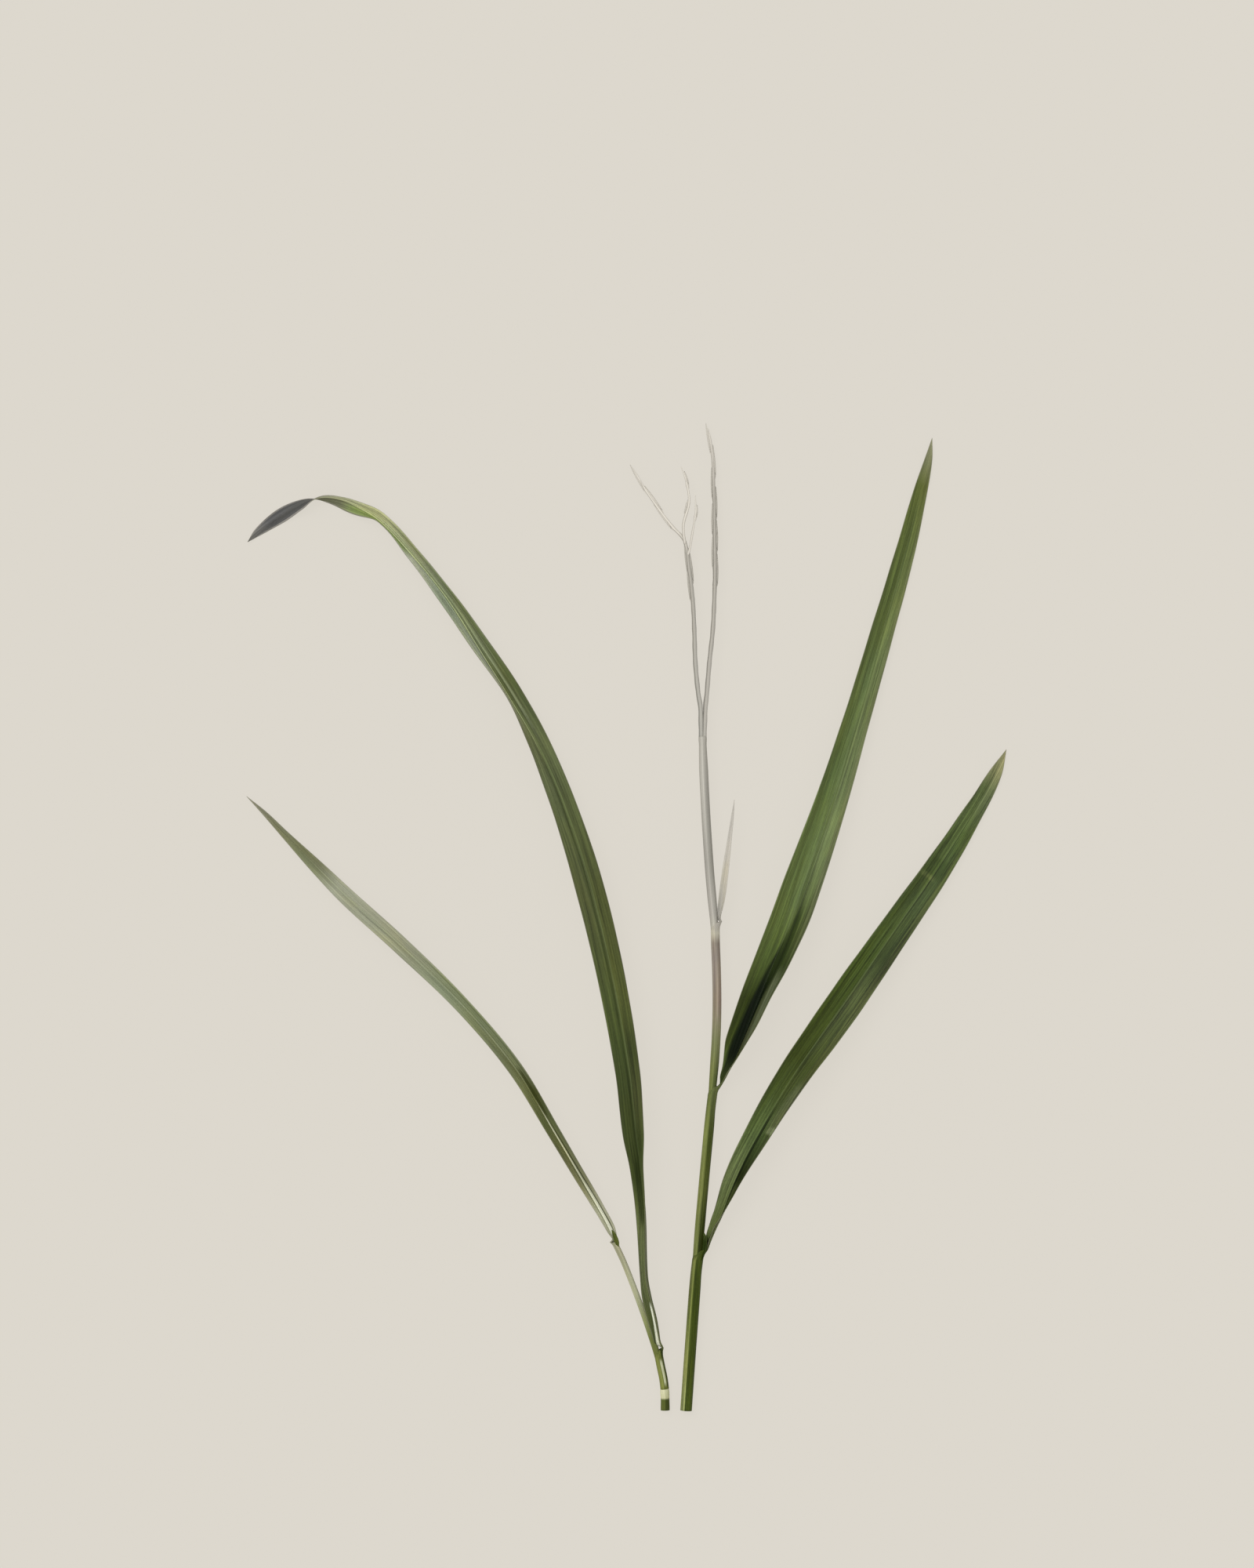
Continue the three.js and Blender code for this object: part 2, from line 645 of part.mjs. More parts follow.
const plant = new THREE.Group();
plant.add(named("left_culm", leftCulm(), stemGreen));
plant.add(named("arching_leaf", archingLeaf(), darkGreen));
plant.add(named("left_leaf", leftLeaf(), paleGreen));
plant.add(named("right_culm", rightCulm(), stemGreen));
plant.add(named("lower_right_leaf", lowerRightLeaf(), darkGreen));
plant.add(named("upper_right_leaf", upperRightLeaf(), broadGreen));
plant.add(named("flag_leaf", flagLeaf(), faded));
plant.add(named("panicle_left_branch", leftBranch.geometry, faded));
plant.add(named("panicle_upper_twig", upperTwig.geometry, faded));
plant.add(named("panicle_side_twig", sideTwig.geometry, faded));
plant.add(named("panicle_right_branch", rightBranch.geometry, faded));
SPIKELETS.forEach((spot, i) => {
  const mesh = spikeletMesh(spot, faded);
  mesh.name = `spikelet_${String(i + 1).padStart(2, "0")}`;
  plant.add(mesh);
});

// The origin is the middle of the plant's box, on the surface that it lies on.
const box = new THREE.Box3().setFromObject(plant, true);
const middle = box.getCenter(new THREE.Vector3());
const part = new THREE.Group();
plant.position.set(-middle.x, -middle.y, -box.min.z);
part.add(plant);

export default part;
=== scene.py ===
"""Panicum grass, cut and laid flat: the looks of two leafy shoots and their faded panicle."""
import math

import bpy
import numpy as np
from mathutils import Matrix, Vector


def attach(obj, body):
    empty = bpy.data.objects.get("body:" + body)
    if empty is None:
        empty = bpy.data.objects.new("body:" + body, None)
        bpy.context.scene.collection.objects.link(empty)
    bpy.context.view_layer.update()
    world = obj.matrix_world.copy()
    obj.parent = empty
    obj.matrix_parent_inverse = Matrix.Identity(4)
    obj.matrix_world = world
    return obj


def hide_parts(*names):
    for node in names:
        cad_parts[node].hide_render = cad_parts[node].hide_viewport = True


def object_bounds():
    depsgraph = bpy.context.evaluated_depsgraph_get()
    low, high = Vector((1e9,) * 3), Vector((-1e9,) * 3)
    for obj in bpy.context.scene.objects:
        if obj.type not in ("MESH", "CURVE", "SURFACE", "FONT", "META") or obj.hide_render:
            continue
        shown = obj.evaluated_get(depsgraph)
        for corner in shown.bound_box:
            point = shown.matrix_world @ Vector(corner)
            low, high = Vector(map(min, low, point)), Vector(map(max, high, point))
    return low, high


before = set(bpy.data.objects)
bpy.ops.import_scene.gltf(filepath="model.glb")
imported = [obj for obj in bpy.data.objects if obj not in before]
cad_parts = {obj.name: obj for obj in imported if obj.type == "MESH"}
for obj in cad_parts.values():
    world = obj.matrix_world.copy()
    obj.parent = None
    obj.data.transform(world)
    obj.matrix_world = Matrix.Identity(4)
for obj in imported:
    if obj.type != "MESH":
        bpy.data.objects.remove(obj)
CAD_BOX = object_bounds()

MM = 0.001

# The written routes are in millimetres from the foot of the plant. These are their lowest ends,
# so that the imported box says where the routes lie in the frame.
ROUTE_LOW = np.array([-132.234, -0.118, -0.085])
SHIFT = np.array(CAD_BOX[0]) / MM - ROUTE_LOW

SHEATH_WALL = 0.22
SHEATH_GAP = 0.1  # the leaves clasp their stems more closely than in the CAD model
WRAP = SHEATH_WALL + SHEATH_GAP
SHEATH_WRAP = 165
MOUTH_LEAN = 0.2  # how far a sheath's mouth leans out towards its blade
BLADE_THICKNESS = 0.3
TIP_HALF_WIDTH = 0.05
SURFACE_GAP = 0.02  # nothing sinks into what the plant lies on


# ---- Curves ------------------------------------------------------------------------------------
def curve_through(keys, rows):
    """Smooth curve through rows of numbers, where keys says how far along each row lies."""
    keys = np.asarray(keys, float)
    rows = np.asarray(rows, float)
    before = np.maximum(np.arange(len(keys)) - 1, 0)
    after = np.minimum(np.arange(len(keys)) + 1, len(keys) - 1)
    slopes = (rows[after] - rows[before]) / (keys[after] - keys[before])[:, None]

    def at(where):
        where = np.atleast_1d(np.asarray(where, float))
        i = np.clip(np.searchsorted(keys, where, side="right") - 1, 0, len(keys) - 2)
        span = (keys[i + 1] - keys[i])[:, None]
        t = (where[:, None] - keys[i][:, None]) / span
        start, end = rows[i], rows[i + 1]
        leave, arrive = slopes[i] * span, slopes[i + 1] * span
        bend = 2 * (start - end) + leave + arrive
        return start + t * (leave + t * (3 * (end - start) - 2 * leave - arrive + t * bend))

    return at


def steps_between(pairs):
    """Straight stretches between (distance, value) pairs."""
    xs, ys = zip(*pairs)
    return lambda y: np.interp(y, xs, ys)


def unit(vectors):
    return vectors / np.linalg.norm(vectors, axis=-1, keepdims=True)


def cross_axes(headings):
    """Right-hand and upward directions square to each heading."""
    right = unit(np.cross(headings, [0.0, 0.0, 1.0]))
    return right, np.cross(right, headings)


class Axis:
    """The axis of a shoot, as a function of the distance along +Y."""

    def __init__(self, points):
        self.at = curve_through([p[1] for p in points], points)

    def point(self, y):
        return self.at(y)

    def heading(self, y):
        y = np.atleast_1d(np.asarray(y, float))
        return unit(self.at(y + 0.5) - self.at(y - 0.5))


def smooth(x, low, high):
    t = np.clip((np.asarray(x, float) - low) / (high - low), 0, 1)
    return t * t * (3 - 2 * t)


# ---- Meshes ------------------------------------------------------------------------------------
class Part:
    """Points in route millimetres, faces, and the three UV maps that the materials read.

    leaf holds the share across and along, ruler the same in millimetres, and face tells the
    under side of a leaf, or the cut face of a stem, from the rest."""

    def __init__(self, points, faces, leaf, ruler, face):
        self.points, self.faces = np.asarray(points), faces
        self.maps = {"leaf": leaf, "ruler": ruler, "face": face}


def mesh_piece(name, parts):
    """One smooth-shaded piece out of several parts."""
    mesh = bpy.data.meshes.new(name)
    points = np.concatenate([part.points for part in parts]) + SHIFT
    points[:, 2] = np.maximum(points[:, 2], SURFACE_GAP)
    faces, first = [], 0
    for part in parts:
        faces += [tuple(first + i for i in face) for face in part.faces]
        first += len(part.points)
    mesh.from_pydata((points * MM).tolist(), [], faces)
    corners = np.zeros(len(mesh.loops), int)
    mesh.loops.foreach_get("vertex_index", corners)
    for label in ("leaf", "ruler", "face"):
        values = np.concatenate([part.maps[label] for part in parts])
        layer = mesh.uv_layers.new(name=label)
        layer.data.foreach_set("uv", values[corners].astype(np.float32).ravel())
    mesh.polygons.foreach_set("use_smooth", [True] * len(mesh.polygons))
    mesh.update()
    piece = bpy.data.objects.new(name, mesh)
    bpy.context.scene.collection.objects.link(piece)
    return piece


def grid_faces(rows, columns, start=0, flip=False, closed=False):
    faces = []
    for i in range(rows - 1):
        for j in range(columns if closed else columns - 1):
            a = start + i * columns
            quad = (a + j, a + (j + 1) % columns, a + columns + (j + 1) % columns, a + columns + j)
            faces.append(quad[::-1] if flip else quad)
    return faces


def strip_faces(rows, columns, under):
    """Margins and ends that join the upper face of a leaf to its under face."""
    faces = []
    for i in range(rows - 1):
        a, b = i * columns, (i + 1) * columns
        faces.append((a, b, under + b, under + a))
        a, b = a + columns - 1, b + columns - 1
        faces.append((b, a, under + a, under + b))
    last = (rows - 1) * columns
    for j in range(columns - 1):
        a, b = j, last + j
        faces.append((a + 1, a, under + a, under + a + 1))
        faces.append((b, b + 1, under + b + 1, under + b))
    return faces


# The rings that close a tube's end: share of its radius, and how deep pith sinks there, in radii.
END_RINGS = ((0.9, 0.0), (0.62, 0.14), (0.3, 0.24), (0.02, 0.2))


def tube(centres, headings, radii, sides=20, ribs=0, rib_height=0.0, pith=True):
    """A round stem through centres, closed at both ends, the first end cut square."""
    centres, radii = np.asarray(centres, float), np.asarray(radii, float)
    right, above = cross_axes(unit(np.asarray(headings, float)))
    lengths = np.concatenate([[0], np.cumsum(np.linalg.norm(np.diff(centres, axis=0), axis=1))])
    turn = np.linspace(0, 2 * np.pi, sides, endpoint=False)
    rib = 1 + rib_height * np.cos(ribs * turn)
    around = -np.cos(turn)[None, :, None] * right[:, None] + np.sin(turn)[None, :, None] * above[:, None]
    rings = centres[:, None] + around * (radii[:, None] * rib[None])[..., None]
    faces = grid_faces(len(centres), sides, closed=True)
    u = np.broadcast_to(turn / (2 * np.pi), (len(centres), sides)).ravel()
    v = np.repeat(lengths / lengths[-1], sides)
    points, leaf = [rings.reshape(-1, 3)], [np.stack([u, v], axis=1)]
    ruler = [np.stack([u * 2 * np.pi * np.repeat(radii, sides), np.repeat(lengths, sides)], axis=1)]
    face = [np.zeros((len(u), 2))]
    count = len(u)
    for end, inward in ((0, 1), (-1, -1)):
        edge = 0 if end == 0 else (len(centres) - 1) * sides
        for share, depth in END_RINGS:
            sunk = depth * radii[end] * inward if pith and end == 0 else 0
            centre = centres[end] + unit(np.asarray(headings[end], float)) * sunk
            points.append(centre + around[end] * radii[end] * share)
            ladder = [(edge + j, count + j, count + (j + 1) % sides, edge + (j + 1) % sides)
                      for j in range(sides)]
            faces += ladder if inward > 0 else [quad[::-1] for quad in ladder]
            edge = count
            count += sides
            leaf.append(np.stack([turn / (2 * np.pi), np.full(sides, v[0 if end == 0 else -1])], axis=1))
            ruler.append(np.stack([turn * radii[end] * share, np.full(sides, lengths[end])], axis=1))
            face.append(np.tile([1.0 if end == 0 else 0.0, share], (sides, 1)))
        cap = tuple(range(edge, edge + sides))
        faces.append(cap[::-1] if inward > 0 else cap)
    whole = [np.concatenate(rows) for rows in (points, leaf, ruler, face)]
    return Part(whole[0], faces, *whole[1:])


# ---- Leaves ------------------------------------------------------------------------------------
# Beyond the mouth of a sheath: how far past it and out from it in radii of the sheath, how much
# its half-width has changed, and the turn, in degrees, that each half still makes.
COLLAR_ROWS = [
    (0.25, 0.02, 0.0, 150),
    (0.7, 0.12, -0.06, 128),
    (1.2, 0.35, -0.2, 98),
    (1.7, 0.65, -0.38, 66),
]


def sheath_rows(axis, start, end, wrapped, side):
    ys = np.linspace(start, end, max(4, math.ceil((end - start) / 5) + 1))
    radius = wrapped(ys) + SHEATH_GAP + SHEATH_WALL / 2
    right, _ = cross_axes(axis.heading(ys))
    middle = axis.point(ys) + right * (side * radius)[:, None]
    half = math.radians(SHEATH_WRAP) * radius
    lean = MOUTH_LEAN * np.exp(-((end - ys) / 1.6))
    middle = middle + right * (side * lean)[:, None]
    rows = []
    for m, h in zip(middle, half):
        rows.append([*m, h, 0, side * 90, SHEATH_WRAP, SHEATH_WALL])
    return rows


def collar_rows(axis, collar, wrapped, side):
    radius = float(wrapped(collar)) + SHEATH_GAP + SHEATH_WALL / 2
    rows = []
    for past, away, growth, curl in COLLAR_ROWS:
        y = collar + past * radius
        right, _ = cross_axes(axis.heading(y))
        middle = axis.point(y)[0] + right[0] * side * (radius * (1 + away) + MOUTH_LEAN)
        half = math.radians(curl) * radius * (1 + growth)
        rows.append([*middle, half, 0, side * 90, curl, SHEATH_WALL])
    return rows


def blade_rows(width, written):
    """Rows of x, y, z, half-width, fold, roll, curl and thickness, from written rows of a blade.

    A written row gives its width as a share, and the three angles in degrees."""
    rows = []
    for x, y, z, share, fold, roll, curl in written:
        half = max(share * width / 2, TIP_HALF_WIDTH)
        rows.append([x, y, z, half, fold, roll, curl, min(BLADE_THICKNESS, half * 2)])
    return rows


class Leaf:
    """One leaf as a curved strip: where every point of its two faces lies."""

    def __init__(self, rows, step=0.9, half_strips=22):
        rows = np.asarray(rows, float)
        gaps = np.linalg.norm(np.diff(rows[:, :3], axis=0), axis=1)
        self.keys = np.concatenate([[0], np.cumsum(gaps)])
        self.length = self.keys[-1]
        self.at = curve_through(self.keys, rows)
        self.count = int(self.length / step)
        self.where = np.linspace(0, self.length, self.count)
        self.across = np.linspace(-1, 1, 2 * half_strips + 1)
        self.half_strips = half_strips

    def along(self, x, y):
        """How far along the leaf its midrib comes closest to a place in the plan."""
        middles = self.at(self.where)[:, :2]
        return self.where[np.argmin(np.hypot(middles[:, 0] - x, middles[:, 1] - y))]

    def surface(self):
        """Middle points, upward normals, thickness and half-width over the strip."""
        values = self.at(self.where)
        middle = values[:, :3]
        half = np.maximum(values[:, 3], TIP_HALF_WIDTH)[:, None]
        fold, roll, curl = (np.radians(values[:, k])[:, None] for k in (4, 5, 6))
        ahead = self.at(np.minimum(self.where + 0.2, self.length))[:, :3]
        behind = self.at(np.maximum(self.where - 0.2, 0))[:, :3]
        right, above = cross_axes(unit(ahead - behind))
        shares = np.linspace(0, 1, self.half_strips + 1)[None, :]
        crease = np.tanh(shares / 0.07)
        halves = []
        for side in (-1, 1):
            angle = fold * crease + side * roll + curl * shares
            mid_angle = (angle[:, 1:] + angle[:, :-1]) / 2
            zero = np.zeros((self.count, 1))
            out = np.concatenate([zero, np.cumsum(np.cos(mid_angle), axis=1)], axis=1)
            lift = np.concatenate([zero, np.cumsum(np.sin(mid_angle), axis=1)], axis=1)
            out *= side * half / self.half_strips
            lift *= half / self.half_strips
            halves.append((out, lift, -side * np.sin(angle), np.cos(angle)))
        whole = [np.concatenate([l[:, :0:-1], r], axis=1) for l, r in zip(*halves)]
        out, lift, n_out, n_lift = whole
        points = middle[:, None] + out[..., None] * right[:, None] + lift[..., None] * above[:, None]
        normals = n_out[..., None] * right[:, None] + n_lift[..., None] * above[:, None]
        return points, unit(normals), values[:, 7][:, None], half


def leaf_part(leaf, relief):
    """The closed strip of a leaf: two faces apart by its thickness, with ribs, keel and margins."""
    points, normals, thickness, half = leaf.surface()
    s, q = leaf.across[None, :], leaf.where[:, None]
    upper_lift, under_lift = relief(q, s, half, thickness)
    upper = points + normals * upper_lift[..., None]
    under = points - normals * under_lift[..., None]
    rows, columns = leaf.count, len(leaf.across)
    total = rows * columns
    faces = grid_faces(rows, columns)
    faces += grid_faces(rows, columns, start=total, flip=True)
    faces += strip_faces(rows, columns, total)

    def both(across, along):
        across, along = (np.broadcast_to(a, (rows, columns)).ravel() for a in (across, along))
        return np.stack([np.tile(across, 2), np.tile(along, 2)], axis=1)

    face = np.repeat([[0.0, 0.0], [1.0, 0.0]], total, axis=0)
    points = np.concatenate([upper.reshape(-1, 3), under.reshape(-1, 3)])
    return Part(points, faces, both(s / 2 + 0.5, q / leaf.length), both(s * half, q), face)


RIPPLE_LENGTHS = (14, 42)
BLADE_BEGINS = (-1, 14)  # from the collar: where a blade takes on its full relief
TIP_FADE = 26  # over which the relief fades again towards the tip
MARGIN_THINNING = 0.75
GROOVE_DEPTH, GROOVE_HALF = 0.1, 0.34  # over the midrib, on the upper face
KEEL_HALF = 0.36  # of the ridge under the midrib


def grass_relief(leaf, collar_at, veins, vein_height, keel, ripple, seed):
    """Ribs, keel, thin margins and a slight ripple along a blade. Sheaths stay smoother."""
    rng = np.random.default_rng(seed)
    waves = [(rng.uniform(*RIPPLE_LENGTHS), rng.uniform(0, 6.28), rng.uniform(0.4, 1)) for _ in range(4)]

    def relief(q, s, half, thickness):
        blade = smooth(q, collar_at + BLADE_BEGINS[0], collar_at + BLADE_BEGINS[1])
        tip = 1 - smooth(q, leaf.length - TIP_FADE, leaf.length)
        margin = 1 - MARGIN_THINNING * np.abs(s) ** 6
        ribs = np.cos(np.pi * 2 * veins * np.abs(s)) * vein_height * (0.35 + 0.65 * blade) * tip
        ribs = ribs * smooth(np.abs(s), 0.04, 0.12) * (1 - smooth(np.abs(s), 0.93, 1))
        groove = np.exp(-((s * half / GROOVE_HALF) ** 2)) * GROOVE_DEPTH * blade * tip
        ridge = np.exp(-((s * half / KEEL_HALF) ** 2)) * keel * blade * tip * (1.15 - q / leaf.length)
        wave = sum(a * np.sin(q * 6.283 / w + p + 1.4 * np.sign(s)) for w, p, a in waves)
        flutter = ripple * wave * np.abs(s) ** 2.2 * blade * tip
        base = thickness / 2 * margin
        return base + ribs - groove + flutter, base + 0.6 * ribs + ridge - flutter

    return relief


# ---- The shoots --------------------------------------------------------------------------------
# The routes follow the CAD model's, moved by parts of a millimetre at most places.
RIGHT_AXIS = Axis([
    (2.2, 0, 1.95),
    (3.8, 22.7, 2.7),
    (5.6, 46.7, 3.6),
    (7.7, 70.6, 4.3),
    (9.9, 94.5, 4.9),
    (11.3, 113, 5.2),
    (11.6, 128, 5.4),
    (10.9, 147.1, 5.6),
    (9.3, 166.3, 5.6),
    (8, 187, 5.4),
    (7.3, 205, 5),
    (7.4, 215, 4.8),
])
LEFT_AXIS = Axis([
    (-4.1, 0, 1.12),
    (-4.15, 4, 1.3),
    (-4.5, 8.4, 1.6),
    (-5.2, 12, 1.85),
    (-6.3, 16.5, 2.2),
    (-8.2, 22.5, 2.7),
    (-10.6, 29.5, 3.2),
    (-13.4, 37.1, 3.7),
    (-16.2, 44.3, 4.1),
    (-18.9, 50.7, 4.4),
    (-21.3, 57, 4.8),
])
UPPER_NODE, FLAG_NODE, LEFT_NODE = 36, 90, 6
LOWER_COLLAR, UPPER_COLLAR, FLAG_COLLAR = 46.5, 97, 147
ARCHING_COLLAR, LEFT_COLLAR = 16.3, 50.7
RING, FORK = 205, 214

right_culm_radius = steps_between([
    (36, 1.53),
    (37.5, 1.11),
    (46.5, 1.11),
    (55.5, 1.28),
    (90, 1.28),
    (91.5, 0.86),
    (97, 0.86),
    (106, 1.1),
    (147, 1.1),
    (156, 1.36),
    (196, 1.36),
    (204, 1.14),
    (205, 1.34),
    (206, 1.14),
])
left_culm_radius = steps_between([
    (0, 1.38),
    (4, 1.3),
    (5.4, 1.36),
    (7.4, 1.28),
    (8.2, 0.74),
    (20, 0.72),
    (34, 0.62),
    (50.7, 0.62),
])


def inside_lower_sheath(y):
    return right_culm_radius(y) + WRAP * (np.asarray(y) > UPPER_NODE + 1)


def inside_upper_sheath(y):
    return right_culm_radius(y) + WRAP * (np.asarray(y) > FLAG_NODE + 1)


def inside_left_sheath(y):
    return left_culm_radius(np.maximum(y, 9))


def inside_arching_sheath(y):
    return inside_left_sheath(y) + WRAP


def whole_leaf(axis, start, collar, wrapped, side, width, written, **mesh):
    rows = sheath_rows(axis, start, collar, wrapped, side)
    rows += collar_rows(axis, collar, wrapped, side)
    rows += blade_rows(width, written)
    leaf = Leaf(rows, **mesh)
    leaf.collar = leaf.along(*rows[len(rows) - len(written) - len(COLLAR_ROWS) - 1][:2])
    return leaf


LOWER_RIGHT = whole_leaf(RIGHT_AXIS, 0, LOWER_COLLAR, inside_lower_sheath, 1, 11.4, [
    (9.75, 52.2, 4.5, 0.37, 10, 70, 50),
    (11.3, 56, 4.9, 0.49, 14, 70, 40),
    (13.3, 60.4, 5.7, 0.49, 32, 50, 18),
    (16.9, 69.9, 7.2, 0.65, 35, 30, 5),
    (21.6, 79.8, 8.2, 0.74, 28, 18, 4),
    (32.8, 99.3, 8.8, 0.88, 20, 8, 4),
    (49.4, 123.2, 7.6, 1, 15, 0, 3),
    (66.2, 147.1, 4.6, 0.89, 14, 0, 2),
    (79.5, 166, 1.9, 0.75, 14, 0, 0),
    (91.7, 185.2, 0.16, 0.52, 16, 0, 0),
    (97, 194.8, 0.4, 0.36, 18, 0, 0),
    (100.2, 201.9, 1.2, 0, 18, 0, 0),
])
UPPER_RIGHT = whole_leaf(RIGHT_AXIS, UPPER_NODE + 2, UPPER_COLLAR, inside_upper_sheath, 1, 12.8, [
    (14, 101.5, 5.4, 0.28, 18, 62, 45),
    (15.3, 104.1, 5.7, 0.38, 26, 56, 30),
    (17.4, 108.3, 6.4, 0.62, 36, 42, 14),
    (19.2, 112.8, 6.9, 0.79, 38, 34, 8),
    (25, 127.5, 7.7, 0.92, 32, 24, 4),
    (33, 146.9, 7.6, 1, 22, 14, 3),
    (38, 161.4, 7, 0.95, 16, 6, 0),
    (46.3, 185.4, 5.2, 0.8, 14, 0, 0),
    (53.8, 209.3, 3.3, 0.66, 12, 0, 0),
    (62.3, 238, 1.2, 0.57, 12, 0, 0),
    (69.2, 262, 0.16, 0.48, 12, 0, 0),
    (74, 281, 0.3, 0.34, 14, 0, 0),
    (76.4, 290.6, 0.8, 0.19, 14, 0, 0),
    (77.5, 297.1, 1.5, 0, 14, 0, 0),
])
FLAG = whole_leaf(RIGHT_AXIS, FLAG_NODE + 2, FLAG_COLLAR, right_culm_radius, 1, 2.8, [
    (12.6, 150.4, 5.8, 0.8, 20, 60, 50),
    (13.2, 155, 6.1, 0.9, 20, 34, 20),
    (13.8, 160.5, 6.2, 0.86, 22, 24, 0),
    (14.6, 167, 6, 0.76, 25, 15, 0),
    (15.6, 175, 5.6, 0.5, 25, 10, 0),
    (16.4, 181.5, 5.2, 0.3, 25, 0, 0),
    (17, 186.6, 4.9, 0, 25, 0, 0),
], half_strips=12)
ARCHING = whole_leaf(LEFT_AXIS, LEFT_NODE + 0.6, ARCHING_COLLAR, inside_arching_sheath, 1, 9, [
    (-5.7, 21, 3.4, 0.38, 46, 46, 12),
    (-6.3, 24.5, 4.1, 0.47, 48, 48, 4),
    (-7.1, 28.7, 4.9, 0.58, 46, 50, 2),
    (-8.7, 35.2, 5.9, 0.58, 46, 50, 0),
    (-9.8, 42, 6.6, 0.47, 50, 50, 2),
    (-10.4, 61, 8.2, 0.63, 50, 40, 0),
    (-11.8, 75, 9, 0.74, 45, 30, 0),
    (-13.1, 84.9, 9.4, 0.92, 35, 20, 0),
    (-15.3, 104.1, 9.6, 0.94, 25, 12, 0),
    (-20.6, 133, 9, 0.98, 16, 4, 0),
    (-27.6, 161.5, 7.6, 1, 14, 0, 0),
    (-35.5, 185.6, 5.6, 0.9, 18, -8, 0),
    (-43.5, 203.7, 4, 0.92, 32, -26, 0),
    (-51.8, 217.9, 2.8, 1, 42, -42, 0),
    (-60.2, 231.4, 1.7, 0.93, 46, -22, 0),
    (-70.4, 247.5, 0.7, 0.87, 52, -3, 0),
    (-81.4, 261.2, 0.22, 0.78, 57, -9, 0),
    (-91.6, 271.8, 0.22, 0.66, 54, -30, 0),
    (-97.3, 275.6, 0.8, 0.66, 45, 8, 0),
    (-103.3, 278.2, 1.8, 0.6, 24, 50, 0),
    (-109.6, 278.7, 2.6, 0.5, 4, 78, 0),
    (-115.5, 276.8, 1.72, 0.46, 6, 140, 0),
    (-122.2, 273, 0.62, 0.49, 8, 180, 0),
    (-128.6, 268.4, 0.5, 0.28, 8, 182, 0),
    (-131.8, 265.3, 0.8, 0, 8, 182, 0),
])
LEFT = whole_leaf(LEFT_AXIS, LEFT_NODE + 3.5, LEFT_COLLAR, inside_left_sheath, -1, 6.4, [
    (-19.9, 52.6, 4.9, 0.34, 10, -50, 45),
    (-20.6, 54.5, 5.1, 0.5, 20, -28, 26),
    (-21.7, 57, 5.3, 0.6, 34, -14, 12),
    (-23.7, 60.8, 5.6, 0.68, 44, -6, 4),
    (-26.5, 65.8, 6.1, 0.78, 49, -2, 0),
    (-37.8, 85, 7.4, 0.9, 48, 0, 0),
    (-49.3, 104.1, 7.6, 0.97, 45, 0, 0),
    (-65.2, 123.2, 6.4, 0.98, 43, 0, 0),
    (-85, 142.3, 3.9, 1, 36, 0, 0),
    (-100.8, 156.4, 1.7, 0.93, 32, 0, 0),
    (-110.7, 166.1, 0.5, 0.74, 30, 0, 0),
    (-120, 175.5, 0.2, 0.43, 28, 0, 0),
    (-126.5, 182.3, 0.5, 0.25, 28, 0, 0),
    (-132.1, 187.6, 1.2, 0, 28, 0, 0),
], half_strips=16)


# ---- Paint -------------------------------------------------------------------------------------
GLOSS_LIFT = 0.006  # what the sheen adds to a colour under this light
LEAST_KEPT = 0.4  # of a dark colour, whatever the sheen adds
BRIGHTEST = 0.92
NO_GAIN = ((0, 1),)
ROUGHNESS = 0.5
MIDRIB_BLUR = 0.05  # half the share of a blade over which its two halves' colours meet
YELLOWER = (1.12, 1.04, 0.72, 1)  # what a blotch does to the colour under it
LEAF_LEVEL = 1.03
DARKEST_STREAK = 0.3
VEIN_WANDER = 2.2  # how far veins stray sideways, in radians of their own spacing
STRIPE_END = 0.12  # the share of a stripe's length over which each end fades, if nothing else is said


def linear(colour, gain=1.0):
    """A colour written as it looks in the light, from 0 to 255, as what the shader needs.

    gain makes up for the light that a folded or shaded place loses.
    """
    made = []
    for value in colour:
        value = value / 255
        value = value / 12.92 if value <= 0.04045 else ((value + 0.055) / 1.055) ** 2.4
        made.append(min(max(value - GLOSS_LIFT, value * LEAST_KEPT) * gain, BRIGHTEST))
    return (*made, 1.0)


